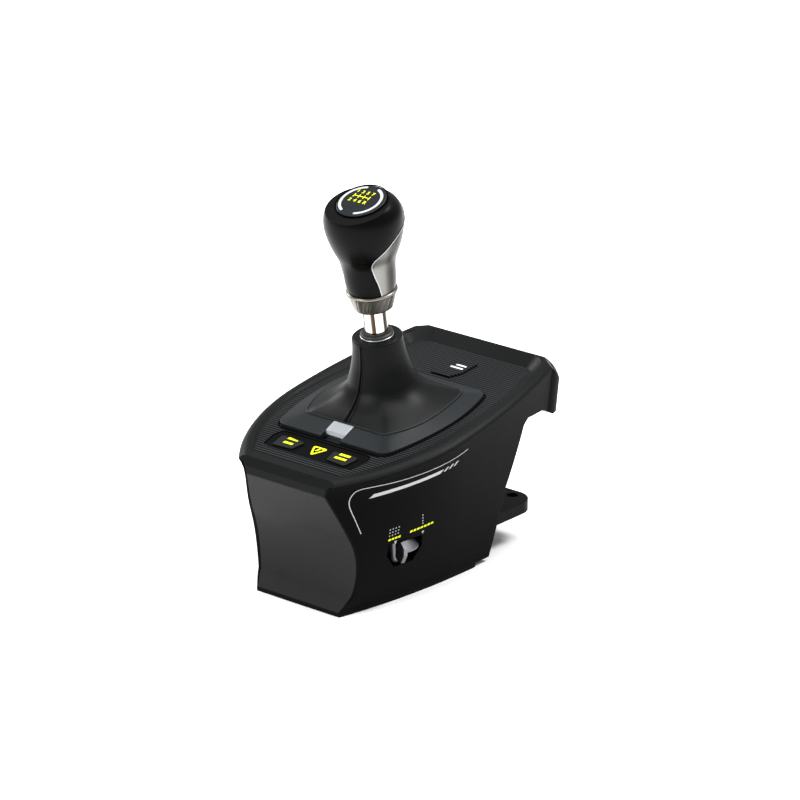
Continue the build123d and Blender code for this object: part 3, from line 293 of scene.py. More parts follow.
def round_lever(angle: np.ndarray, radius: np.ndarray | float, height: np.ndarray) -> np.ndarray:
    """Points round the lever's axis: r cos a and r sin a across it, s along it.

    Args:
        angle: Angles from +X, in radians.
        radius: Distances from the axis, in millimetres.
        height: Distances from the pivot, in millimetres.

    Returns:
        Points in metres.
    """
    return on_lever(np.stack([radius * np.cos(angle), radius * np.sin(angle), height], axis=-1))


def tube_grid(path: np.ndarray, radius: float, steps: int, closed: bool) -> np.ndarray:
    """Circle carried along a path, square to the path's direction at each point.

    Args:
        path: N by 3 points in metres.
        radius: Radius in metres.
        steps: Points round the circle.
        closed: True where the last point joins the first.

    Returns:
        Grid N by steps by 3.
    """
    ahead = np.roll(path, -1, axis=0) - np.roll(path, 1, axis=0)
    if not closed:
        ahead[0], ahead[-1] = path[1] - path[0], path[-1] - path[-2]
    ahead /= np.linalg.norm(ahead, axis=1, keepdims=True)
    side = np.cross(ahead, CORD_UP)
    side /= np.linalg.norm(side, axis=1, keepdims=True)
    up = np.cross(side, ahead)
    angle = full_turn(steps)[None, :, None]
    return path[:, None] + radius * (np.cos(angle) * side[:, None] + np.sin(angle) * up[:, None])


def flat_text(body: str, size: float, bolder: float) -> tuple[np.ndarray, list]:
    """Outline of a numeral as a flat mesh, centred on its own box.

    Args:
        body: The character.
        size: Height of a capital in millimetres, about.
        bolder: Growth of the stroke to each side, as a share of the size.

    Returns:
        Points, N by 2, in millimetres, and faces.
    """
    curve = bpy.data.curves.new("numeral", "FONT")
    curve.body = body
    curve.size = size
    curve.offset = size * bolder
    holder = bpy.data.objects.new("numeral", curve)
    bpy.context.scene.collection.objects.link(holder)
    bpy.context.view_layer.update()
    mesh = bpy.data.meshes.new_from_object(holder)
    points = np.empty(len(mesh.vertices) * 3)
    mesh.vertices.foreach_get("co", points)
    flat = points.reshape(-1, 3)[:, :2]
    faces = [tuple(face.vertices) for face in mesh.polygons]
    bpy.data.objects.remove(holder)
    bpy.data.curves.remove(curve)
    bpy.data.meshes.remove(mesh)
    return flat - (flat.max(axis=0) + flat.min(axis=0)) / 2, faces


class Skin:
    """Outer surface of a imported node, read along one axis."""

    least_area: float = 1e-14
    edge_slack: float = 1e-6

    def __init__(self, node: str, axis: Axis) -> None:
        """Keeps the node's triangles.

        Args:
            node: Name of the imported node.
            axis: Axis that the surface is read along.
        """
        mesh = frame["nodes"][node].data
        mesh.calc_loop_triangles()
        points = np.empty(len(mesh.vertices) * 3)
        mesh.vertices.foreach_get("co", points)
        index = np.empty(len(mesh.loop_triangles) * 3, dtype=np.int32)
        mesh.loop_triangles.foreach_get("vertices", index)
        self.triangles = points.reshape(-1, 3)[index].reshape(-1, 3, 3)
        self.axis = int(axis)
        self.flat = [k for k in range(3) if k != self.axis]

    def place(self, first: np.ndarray, second: np.ndarray, lift: float) -> np.ndarray:
        """Points of the outermost surface over places on the two other axes.

        A place lies in a triangle where its three area shares are all positive, and the same shares of
        the corners' heights give the height there. The highest triangle is the outermost one.

        Args:
            first: Places on the first other axis, in metres.
            second: Places on the second other axis, in metres.
            lift: Height above the surface, in metres.

        Returns:
            Points with the shape of the inputs and a last axis of 3, in metres.
        """
        p = np.stack([first.ravel(), second.ravel()], axis=-1)[:, None, :]
        a, b, c = (self.triangles[:, k][:, self.flat][None] for k in range(3))

        def area(u: np.ndarray, v: np.ndarray, w: np.ndarray) -> np.ndarray:
            """Twice the signed area of the flat triangle u, v, w."""
            across, along = v - u, w - u
            return across[..., 0] * along[..., 1] - across[..., 1] * along[..., 0]

        whole = area(a, b, c)
        safe = np.where(np.abs(whole) < self.least_area, np.inf, whole)
        shares = np.stack([area(b, c, p), area(c, a, p), area(a, b, p)], axis=-1) / safe[..., None]
        inside = (shares > -self.edge_slack).all(axis=-1) & np.isfinite(safe)
        height = (shares * self.triangles[None, :, :, self.axis]).sum(axis=-1)
        best = np.where(inside, height, -np.inf).max(axis=1)
        known = np.isfinite(best)
        out = np.zeros((len(best), 3))
        out[:, self.flat] = p[:, 0]
        out[:, self.axis] = np.where(known, best, best[known].mean()) + lift
        return out.reshape(first.shape + (3,))


def band_path(points: Points, width: float, steps: int) -> np.ndarray:
    """Band of even width along a smooth line through flat points.

    The line is a cubic Hermite curve over the length of its chords. Each edge lies half the width to
    one side, square to the line.

    Args:
        points: Flat points in millimetres.
        width: Width in millimetres.
        steps: Points along the line.

    Returns:
        Grid 2 by steps by 2, in millimetres.
    """
    spots = np.asarray(points, float)
    run = np.concatenate([[0.0], np.cumsum(np.linalg.norm(np.diff(spots, axis=0), axis=1))])
    t = np.linspace(0.0, run[-1], steps)
    line = np.stack([eased(t, run, spots[:, k]) for k in range(2)], axis=-1)
    ahead = np.gradient(line, axis=0)
    ahead /= np.linalg.norm(ahead, axis=1, keepdims=True)
    side = np.stack([-ahead[:, 1], ahead[:, 0]], axis=-1) * width / 2
    return np.stack([line + side, line - side])


def bar_grid(corners: Points | np.ndarray, along: int, across: int) -> np.ndarray:
    """Grid between four corners, mixed evenly both ways (bilinear).

    Args:
        corners: First, second, third and fourth corner, in order round the shape, in millimetres.
        along: Points from the first to the second corner.
        across: Points from the first to the fourth corner.

    Returns:
        Grid across by along by 2, in millimetres.
    """
    a, b, c, d = np.asarray(corners, float)
    u = np.linspace(0, 1, along)[None, :, None]
    v = np.linspace(0, 1, across)[:, None, None]
    return (1 - v) * ((1 - u) * a + u * b) + v * ((1 - u) * d + u * c)


def arc_band(
    centre: tuple[float, float], radius: float, width: float, ends_deg: tuple[float, float], steps: int
) -> np.ndarray:
    """Band along an arc whose ends are round: the half width follows a circle near each end.

    Args:
        centre: Centre in millimetres.
        radius: Radius of the middle line, in millimetres.
        width: Width in millimetres.
        ends_deg: Angles of the first and the last end, in degrees.
        steps: Points along the arc.

    Returns:
        Grid 2 by steps by 2, in millimetres.
    """
    angle = np.radians(np.linspace(*ends_deg, steps))
    near = np.minimum(np.abs(angle - angle[0]), np.abs(angle - angle[-1])) * radius
    half = width / 2
    half_here = half * np.sqrt(1 - np.clip(1 - near / half, 0.0, 1.0) ** 2)
    reaches = [(radius + side * half_here)[:, None] for side in (-1, 1)]
    return np.stack([np.asarray(centre) + reach * circle(angle) for reach in reaches])


# Finishes


def add_node(
    tree: Tree, kind: str, settings: dict[str, object] | None = None, **inputs: object
) -> bpy.types.Node:
    """Adds a shader node with its settings and links.

    Args:
        tree: The material's node tree.
        kind: Node type, such as ShaderNodeTexNoise.
        settings: Values of the node's own properties.
        **inputs: Sockets by name, with _ for a blank, or by index as i0, i1; a value or an output socket.

    Returns:
        The new node.
    """
    node = tree.nodes.new(kind)
    for key, value in (settings or {}).items():
        setattr(node, key, value)
    for key, value in inputs.items():
        by_index = key[0] == "i" and key[1:].isdigit()
        socket = node.inputs[int(key[1:]) if by_index else key.replace("_", " ")]
        if isinstance(value, bpy.types.NodeSocket):
            tree.links.new(value, socket)
        else:
            socket.default_value = value
    return node


@dataclass(frozen=True)
class Finish:
    """A moulded or painted surface: base colour, gloss and a fine grain.

    The grain is a noise of the given size in millimetres, used for the bump, and a broad noise
    that varies colour and gloss a little, as handling and moulding do.
    """

    name: str
    colour: str
    dark: str
    roughness: float
    metallic: float = 0.0
    grain_mm: float = 0.35
    grain_depth: float = 0.02
    broad_mm: float = 30.0
    rough_spread: float = 0.06
    ior: float = 1.5
    specular: float = 0.5
    coat: float = 0.0
    coat_roughness: float = 0.12
    edge_mm: float = 0.0

    def height(self, tree: Tree, coords: Socket) -> Socket:
        """Height of the surface's grain: a fine noise."""
        scale = 1 / (self.grain_mm * MM) / GRAIN_COARSER
        return add_node(tree, "ShaderNodeTexNoise", Vector=coords, Scale=scale, Detail=3.0).outputs["Fac"]

    def tint(self, tree: Tree, coords: Socket, fine: Socket) -> Socket:
        """Colour of the surface: two close tones mixed by a broad noise.

        Args:
            tree: The material's node tree.
            coords: Object coordinates.
            fine: Height of the grain.

        Returns:
            The colour's socket.
        """
        scale = 1 / (self.broad_mm * MM)
        broad = add_node(tree, "ShaderNodeTexNoise", Vector=coords, Scale=scale, Detail=2.0)
        mix = add_node(
            tree, "ShaderNodeMix", {"data_type": "RGBA"}, i0=broad.outputs["Fac"],
            i6=linear(self.dark), i7=linear(self.colour),
        )
        return mix.outputs[2]

    def make(self) -> bpy.types.Material:
        """Builds the material.

        Returns:
            The node material.
        """
        material = bpy.data.materials.new(self.name)
        material.use_nodes = True
        tree = material.node_tree
        shader = tree.nodes["Principled BSDF"]
        coords = add_node(tree, "ShaderNodeTexCoord").outputs["Object"]
        fine = self.height(tree, coords)
        tree.links.new(self.tint(tree, coords, fine), shader.inputs["Base Color"])
        rough = add_node(
            tree, "ShaderNodeMapRange", Value=fine,
            To_Min=max(LEAST_ROUGHNESS, self.roughness - self.rough_spread),
            To_Max=self.roughness + self.rough_spread,
        )
        tree.links.new(rough.outputs["Result"], shader.inputs["Roughness"])
        bump = add_node(tree, "ShaderNodeBump", Height=fine, Strength=1.0, Distance=self.grain_depth * MM)
        if self.edge_mm:
            worn = add_node(tree, "ShaderNodeBevel", {"samples": EDGE_SAMPLES}, Radius=self.edge_mm * MM)
            tree.links.new(worn.outputs["Normal"], bump.inputs["Normal"])
        tree.links.new(bump.outputs["Normal"], shader.inputs["Normal"])
        shader.inputs["Metallic"].default_value = self.metallic
        if not self.metallic:
            shader.inputs["IOR"].default_value = self.ior
            shader.inputs["Specular IOR Level"].default_value = self.specular
        if self.coat:
            shader.inputs["Coat Weight"].default_value = self.coat
            shader.inputs["Coat Roughness"].default_value = self.coat_roughness
        return material


@dataclass(frozen=True)
class DashedMat(Finish):
    """Rubber mat moulded with rows of short dashes.

    A wave across the rows is cut by a wave along them that steps sideways from row to row, so each
    row is a line of short staggered dashes. The dashes are drawn coarser than the real ones, which
    wouldn't show.
    """

    row_mm: float = 2.4
    dash_mm: float = 2.7
    stagger: float = 0.5
    dash_depth: float = 0.22
    ground: float = -0.1
    crest: float = 0.75

    def height(self, tree: Tree, coords: Socket) -> Socket:
        """Height: the wave across the rows times the wave along them, with flat grounds and crests.

        Args:
            tree: The material's node tree.
            coords: Object coordinates.

        Returns:
            The height's socket.
        """
        split = add_node(tree, "ShaderNodeSeparateXYZ", Vector=coords)
        across = add_node(
            tree, "ShaderNodeMath", {"operation": "MULTIPLY"}, i0=split.outputs["Y"],
            i1=TURN / (self.row_mm * MM),
        )
        wave = add_node(tree, "ShaderNodeMath", {"operation": "SINE"}, i0=across.outputs[0])
        step = add_node(
            tree, "ShaderNodeMath", {"operation": "MULTIPLY"}, i0=across.outputs[0], i1=self.stagger
        )
        along = add_node(
            tree, "ShaderNodeMath", {"operation": "MULTIPLY_ADD"}, i0=split.outputs["X"],
            i1=TURN / (self.dash_mm * MM), i2=step.outputs[0],
        )
        gate = add_node(tree, "ShaderNodeMath", {"operation": "SINE"}, i0=along.outputs[0])
        lift = add_node(
            tree, "ShaderNodeMath", {"operation": "MULTIPLY_ADD"}, i0=gate.outputs[0],
            i1=self.dash_depth, i2=1 - self.dash_depth,
        )
        rib = add_node(
            tree, "ShaderNodeMath", {"operation": "MULTIPLY"}, i0=wave.outputs[0], i1=lift.outputs[0]
        )
        level = add_node(
            tree, "ShaderNodeMapRange", {"interpolation_type": "SMOOTHSTEP"}, Value=rib.outputs[0],
            From_Min=self.ground, From_Max=self.crest,
        )
        return level.outputs["Result"]

    def tint(self, tree: Tree, coords: Socket, fine: Socket) -> Socket:
        """Colour: painted shade, the ground between the dashes darker than their crests."""
        tones = {"i6": linear(self.dark), "i7": linear(self.colour)}
        return add_node(tree, "ShaderNodeMix", {"data_type": "RGBA"}, i0=fine, **tones).outputs[2]


@dataclass(frozen=True)
class PaintedReflectionMetal(Finish):
    """Bright metal on a round bar, with painted reflections: dark and light bands of reflected surroundings
    coloured along it.

    The angle round the lever's axis, from the Object coordinates, reads a colour ramp. Each band is a
    share of the turn from -X and a colour.
    """

    # Painted reflections: the light and dark bands round the bar, each a share of the turn and a colour
    bands: tuple[tuple[float, str], ...] = ()

    def tint(self, tree: Tree, coords: Socket, fine: Socket) -> Socket:
        """Colour: a ramp over the angle round the bar, which paints the reflections' bands.

        The place behind the axis is y cos(lean) + z sin(lean) less the pivot's, and the angle is its
        arc tangent over x.

        Args:
            tree: The material's node tree.
            coords: Object coordinates.
            fine: Height of the grain.

        Returns:
            The colour's socket.
        """
        split = add_node(tree, "ShaderNodeSeparateXYZ", Vector=coords)
        rise = add_node(
            tree, "ShaderNodeMath", {"operation": "MULTIPLY_ADD"}, i0=split.outputs["Z"],
            i1=math.sin(LEAN), i2=-float(LEVER_Y @ PIVOT),
        )
        back = add_node(
            tree, "ShaderNodeMath", {"operation": "MULTIPLY_ADD"}, i0=split.outputs["Y"],
            i1=math.cos(LEAN), i2=rise.outputs[0],
        )
        angle = add_node(
            tree, "ShaderNodeMath", {"operation": "ARCTAN2"}, i0=back.outputs[0], i1=split.outputs["X"]
        )
        share = add_node(
            tree, "ShaderNodeMapRange", Value=angle.outputs[0], From_Min=-math.pi, From_Max=math.pi
        )
        ramp = add_node(tree, "ShaderNodeValToRGB", Fac=share.outputs["Result"])
        stops = ramp.color_ramp.elements
        for index, (place, colour) in enumerate(self.bands):
            stop = stops[index] if index < FIRST_STOPS else stops.new(place)
            stop.position = place
            stop.color = linear(colour)
        return ramp.outputs["Color"]


@dataclass(frozen=True)
class PebbledLeather(Finish):
    """Leatherette with a pebbled grain: cells of a Voronoi pattern rounded by a noise."""

    cell_mm: float = 0.9
    smoothness: float = 0.6
    fine_share: float = 0.4

    def height(self, tree: Tree, coords: Socket) -> Socket:
        """Height: the distance from the middle of each cell, with a share of a fine noise.

        Args:
            tree: The material's node tree.
            coords: Object coordinates.

        Returns:
            The height's socket.
        """
        cells = add_node(
            tree, "ShaderNodeTexVoronoi", {"feature": "SMOOTH_F1"}, Vector=coords,
            Scale=1 / (self.cell_mm * MM), Smoothness=self.smoothness,
        )
        scale = 1 / (self.grain_mm * MM) / GRAIN_COARSER
        noise = add_node(tree, "ShaderNodeTexNoise", Vector=coords, Scale=scale, Detail=2.0)
        total = add_node(
            tree, "ShaderNodeMath", {"operation": "MULTIPLY_ADD"}, i0=noise.outputs["Fac"],
            i1=self.fine_share, i2=cells.outputs["Distance"],
        )
        return total.outputs[0]


class Palette:
    """All finishes of the shifter, built once each.

    The dark plastics have a low IOR and specular level: the moulds are spark-eroded, and the fine pits
    swallow most of the sheen that the plain material would have.
    """

    # Injection-moulded ABS, pitted mould: dull black sides with a soft light along each edge
    black_abs = Finish(
        "ABS moulded black", "0a0a0a", "080808", 0.5, grain_depth=0.004, ior=1.12, specular=0.22,
        edge_mm=0.9,
    )
    # The same plastic in graphite, a little silkier: the deck catches more light than the sides
    graphite_abs = Finish(
        "ABS moulded graphite", "121313", "0f1010", 0.4, grain_depth=0.004, ior=1.18, specular=0.32,
        edge_mm=0.9,
    )
    # A dark grey with painted light: the front face is coloured a clear step lighter than the sides, where
    # the front light falls
    fascia_lit_abs = Finish(
        "ABS moulded front painted lighter", "222222", "1f1f1f", 0.45, grain_depth=0.004, ior=1.18, edge_mm=0.6,
    )
    # A finer mould: the bezel has a cool satin sheen on its rounded top
    bezel_abs = Finish(
        "ABS moulded slate", "1c1f21", "191c1e", 0.34, grain_depth=0.004, ior=1.24, specular=0.42,
        edge_mm=0.9,
    )
    # Keys moulded with narrow edges: a thin light line round each
    button_abs = Finish(
        "ABS moulded key", "0e0f10", "0c0d0e", 0.4, grain_depth=0.004, ior=1.25, edge_mm=0.5,
    )
    # Thermoplastic rubber, moulded in a ribbed mould: dull, with painted shade that darkens the ground
    # between its crests
    mat_rubber = DashedMat(
        "TPE moulded rib mat", "303234", "090a0a", 0.6, grain_depth=0.1, ior=1.1,
    )
    # Leatherette: polyurethane on cloth, embossed, wiped to a satin sheen
    leatherette = PebbledLeather(
        "PU leatherette grained", "070808", "060707", 0.38, grain_depth=0.01, ior=1.2,
    )
    # Soft-touch rubber moulded over the knob: broad soft lights on near black
    soft_grip = Finish(
        "TPE soft-touch grip", "040404", "030303", 0.3, grain_depth=0.003, ior=1.17, edge_mm=0.3,
    )
    # Polycarbonate disc with a fine satin face: blue grey under light
    cap_pc = Finish(
        "Polycarbonate satin cap", "12171a", "101416", 0.3, grain_depth=0.002, ior=1.25, edge_mm=0.5,
    )
    # Steel bar, ground, polished and chrome plated, with painted reflections: hard light and dark bands in
    # its colour
    chrome = PaintedReflectionMetal(
        "Steel chrome plated", "d9d4cd", "cfc9c2", 0.09, 1.0, 0.5, 0.0002, rough_spread=0.02,
        bands=(
            (0.0, "4a4038"), (0.19, "2a2420"), (0.205, "d8d2ca"), (0.30, "c9c2b8"), (0.318, "4a3c32"),
            (0.362, "33291f"), (0.372, "f2eee8"), (0.45, "e2dcd4"), (0.478, "b8b0a6"),
            (0.49, "2a221c"), (0.56, "221c18"), (0.58, "cfc8be"), (0.70, "d8d2ca"), (0.72, "40362e"),
            (0.80, "2a2420"), (0.82, "d8d2ca"), (0.93, "c9c2b8"), (0.95, "4a4038"),
        ),
    )
    # Die-cast zinc, brushed and satin plated: warm grey, soft lights
    satin_alloy = Finish(
        "Zinc alloy satin plated", "8f8b84", "827e77", 0.3, 1.0, 0.3, 0.0006, rough_spread=0.03,
    )
    # The same casting on a broad round back, with painted reflections: one dark band between two soft light
    # ones in its colour
    insert_alloy = PaintedReflectionMetal(
        "Zinc alloy satin nickel", "8f8b84", "827e77", 0.34, 1.0, 0.3, 0.0004, rough_spread=0.03,
        bands=(
            (0.0, "4c4a46"), (0.36, "4c4a46"), (0.40, "8a8984"), (0.455, "7c7b76"), (0.485, "4e4c49"),
            (0.52, "1c1a19"), (0.62, "141312"), (0.74, "66645f"), (0.88, "7f7d78"), (0.97, "4c4a46"),
        ),
    )
    # The same casting, tumbled before plating: duller, with worn edges
    lever_alloy = Finish(
        "Zinc alloy dull nickel", "77767a", "6b6a6e", 0.38, 1.0, 0.3, 0.0006, edge_mm=0.4,
    )
    # Pressed aluminium, satin: bright and even
    bright_alloy = Finish(
        "Aluminium satin", "c3c7cb", "b7bbc0", 0.3, 1.0, 0.3, 0.0001, rough_spread=0.01, edge_mm=0.6,
    )
    # Steel plate under baked powder: black with a slight orange-peel grain
    powder_steel = Finish(
        "Steel powder coated", "0a0a0b", "08080a", 0.5, grain_mm=0.6, grain_depth=0.012, ior=1.13,
        edge_mm=0.6,
    )
    # Inner pieces: turned metal, circuit laminate and plain nylon
    bare_steel = Finish("Steel turned", "a5a6a8", "96979a", 0.35, 1.0, 0.3, 0.001)
    brass = Finish("Brass turned", "c8a35a", "b8934c", 0.3, 1.0, 0.3, 0.001)
    laminate = Finish("Glass-epoxy laminate", "1f5a34", "1a4d2c", 0.4, coat=0.4)
    nylon = Finish("Nylon moulded", "1c1c1d", "171718", 0.5, grain_depth=0.01)
    # Inks: screen printed, cured dull
    lime_ink = Finish("Ink screen printed lime", "e6ec1c", "dbe218", 0.5, grain_depth=0.001, ior=1.2)
    white_ink = Finish("Ink screen printed white", "b2b2b2", "a6a6a6", 0.5, grain_depth=0.001, ior=1.2)
    bright_ink = Finish(
        "Ink screen printed bright white", "e8e8e8", "dedede", 0.4, grain_depth=0.001, ior=1.2,
    )
    # The dark of a narrow joint, where hardly any light gets out
    shade_line = Finish("ABS shadow gap", "050505", "040404", 0.8, grain_depth=0.001, ior=1.05)
    # Matt white paint on board: a floor that fades into the background
    floor_paint = Finish(
        "Painted board pale", "fbfbfb", "fafafa", 0.8, grain_depth=0.0, broad_mm=400.0, ior=1.1,
    )

    def __init__(self) -> None:
        """Starts with no material built."""
        self.built: dict[str, bpy.types.Material] = {}

    def dress(self, piece: bpy.types.Object, finish: Finish, slot: Slot | None = None) -> None:
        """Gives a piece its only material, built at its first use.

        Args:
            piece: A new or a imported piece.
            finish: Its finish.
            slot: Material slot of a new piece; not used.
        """
        if finish.name not in self.built:
            self.built[finish.name] = finish.make()
        piece.data.materials.clear()
        piece.data.materials.append(self.built[finish.name])


# Sub-assemblies


@dataclass
class Assembly:
    """A sub-assembly: its sizes are fields, and build makes and dresses its pieces."""

    palette: Palette

    def build(self) -> None:
        """Makes and dresses every piece."""
        raise NotImplementedError

    def cord(
        self, name: str, path: np.ndarray, radius: float, finish: Finish, slot: Slot,
        body: Body | None, closed: bool = True, steps: int = CORD_STEPS,
    ) -> bpy.types.Object:
        """Cord of round section along a path.

        Args:
            name: Name of the piece.
            path: N by 3 points in metres.
            radius: Radius in millimetres.
            finish: Its finish.
            slot: Material slot.
            body: The body that it rides on, or None to leave it on no body.
            closed: True where the last point joins the first.
            steps: Points round the section.

        Returns:
            The dressed cord.
        """
        piece = grid_object(name, tube_grid(path, radius * MM, steps, closed), body, wrap_rows=closed)
        self.palette.dress(piece, finish, slot)
        return piece


@dataclass
class PackedNodes(Assembly):
    """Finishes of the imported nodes, of which the others are boards or plain steel."""

    worn: tuple[tuple[Finish, tuple[str, ...]], ...] = (
        (Palette.black_abs, ("left_shell", "right_shell", "selector_cup", "rear_inlet", "button_panel")),
        (Palette.graphite_abs, ("top_deck",)),
        (Palette.fascia_lit_abs, ("front_fascia",)),
        (Palette.bezel_abs, ("boot_bezel",)),
        (Palette.mat_rubber, ("deck_mat", "rear_button")),
        (Palette.button_abs, ("left_button", "right_button")),
        (Palette.soft_grip, ("knob_grip",)),
        (Palette.cap_pc, ("knob_cap",)),
        (Palette.chrome, ("lever_shaft",)),
        (Palette.insert_alloy, ("knob_back_insert",)),
        (Palette.satin_alloy, ("knob_ferrule",)),
        (Palette.lever_alloy, ("mode_lever",)),
        (Palette.bright_alloy, ("bezel_clip", "cradle", "lever_hub", "knob_core")),
        (Palette.powder_steel, ("base_plate", "clamp_shelf", "mechanism_frame")),
        (Palette.nylon, ("boot_ring", "shaft_bush", "board_standoffs", "select_sensor_legs")),
        (Palette.brass, ("mount_inserts", "trunnion_bushes", "axle_bushes")),
    )

    def build(self) -> None:
        """Dresses each node that the frame has."""
        finishes = {name: finish for finish, names in self.worn for name in names}
        for name, node in frame["nodes"].items():
            plain = Palette.laminate if "board" in name else Palette.bare_steel
            self.palette.dress(node, finishes.get(name, plain))
            LOG.info("dressed %s", name)


@dataclass(frozen=True)
class TrayOutline:
    """Outline of a piece on the tray: two side arcs, a straight front and rear edge and round corners."""

    half: float
    wide_y: float
    front_y: float
    rear_y: float
    front_r: float
    rear_r: float
    corner_deg: float
    axis_y: float = BOOT_AXIS_Y
    side_steps: int = 400
    end_steps: int = 200
    corner_steps: int = 9

    def half_width(self, y: np.ndarray) -> np.ndarray:
        """Half width at y: two arcs that meet at the widest place."""
        r = np.where(y < self.wide_y, self.front_r, self.rear_r)
        return self.half - r + np.sqrt(np.maximum(r * r - (y - self.wide_y) ** 2, 0.0))

    def reach(self, angle: np.ndarray) -> np.ndarray:
        """Distance from the outline's axis to the line at each angle.

        The line runs along the side arc, the rear edge, the other side and the front edge. Its distance
        is read at the angle and averaged over a few degrees, which rounds the corners.

        Args:
            angle: Angles from +X, in radians.

        Returns:
            Distances in millimetres.
        """
        y = np.linspace(self.front_y, self.rear_y, self.side_steps)
        x = self.half_width(y)
        across = np.linspace(-1.0, 1.0, self.end_steps)
        right = np.stack([x, y], axis=-1)
        rear = np.stack([-across * x[-1], np.full_like(across, self.rear_y)], axis=-1)
        front = np.stack([across * x[0], np.full_like(across, self.front_y)], axis=-1)
        line = np.vstack([right, rear, right[::-1] * [-1.0, 1.0], front])
        turn = np.arctan2(line[:, 1] - self.axis_y, line[:, 0])
        far = np.hypot(line[:, 0], line[:, 1] - self.axis_y)
        nearby = np.radians(np.linspace(-self.corner_deg, self.corner_deg, self.corner_steps))
        return np.mean([np.interp(angle + shift, turn, far, period=TURN) for shift in nearby], axis=0)

    def ring(self, angle: np.ndarray) -> np.ndarray:
        """Flat points of the outline at each angle, N by 2, in millimetres."""
        reach = self.reach(angle)
        return np.stack([reach * np.cos(angle), self.axis_y + reach * np.sin(angle)], axis=-1)


@dataclass
class DeckLines(Assembly):
    """Dark gaps round the bezel, the button panel and the rear button, cords sunk in the joints.

    Each gap is a cord's radius and the depth of its axis below the tray floor.
    """

    bezel: TrayOutline = TrayOutline(56.5, 25.0, -32.9, 74.1, 185.0, 135.0, 4.0)
    bezel_steps: int = 360
    bezel_gap: tuple[float, float] = (0.6, 0.1)
    panel: Points = (
        (-33.0, -56.7), (33.0, -56.7), (38.5, -54.7), (40.6, -42.0), (38.2, -35.2), (-38.2, -35.2),
        (-40.6, -42.0), (-38.5, -54.7),
    )
    panel_gap: tuple[float, float] = (0.4, 0.2)
    rear: Points = (
        (-8.1, 81.4), (8.1, 81.4), (11.9, 89.6), (12.2, 106.4), (10.2, 108.3), (-10.2, 108.3),
        (-12.2, 106.4), (-11.9, 89.6),
    )
    rear_gap: tuple[float, float] = (0.35, 0.1)
    edge_steps: int = 24
    corner_reach: int = 2

    def lay(self, name: str, flat: np.ndarray, gap: tuple[float, float]) -> None:
        """Lays a dark cord along a closed line on the tray floor.

        Args:
            name: Name of the piece.
            flat: Points N by 2 in millimetres.
            gap: Its radius and the depth of its axis.
        """
        radius, sink = gap
        path = np.stack([flat[:, 0], flat[:, 1], floor_height(flat[:, 1]) - sink], axis=-1) * MM
        self.cord(name, path, radius, Palette.shade_line, Slot.GRAPHITE, Body.HOUSING)

    def softened(self, corners: Points) -> np.ndarray:
        """Closed line through the corners, each point averaged with its neighbours to round them.

        Args:
            corners: Corners in order, in millimetres.

        Returns:
            Points N by 2 in millimetres.
        """
        first = np.array(corners)
        following = np.roll(first, -1, axis=0)
        share = np.linspace(0, 1, self.edge_steps, endpoint=False)[None, :, None]
        edge = (first[:, None] * (1 - share) + following[:, None] * share).reshape(-1, 2)
        near = range(-self.corner_reach, self.corner_reach + 1)
        return sum(np.roll(edge, k, axis=0) for k in near) / len(near)

    def build(self) -> None:
        """Lays the three gaps."""
        self.lay("bezel_gap", self.bezel.ring(full_turn(self.bezel_steps)), self.bezel_gap)
        self.lay("panel_gap", self.softened(self.panel), self.panel_gap)
        self.lay("rear_button_gap", self.softened(self.rear), self.rear_gap)


@dataclass(frozen=True)
class Fold:
    """A faint wave round the boot.

    It has a height, a count of crests round the axis, a twist for each millimetre of lift and a phase,
    and it fades away on both sides of its middle lift over its reach.
    """

    height: float
    count: int
    twist: float
    phase: float
    middle: float
    reach: float


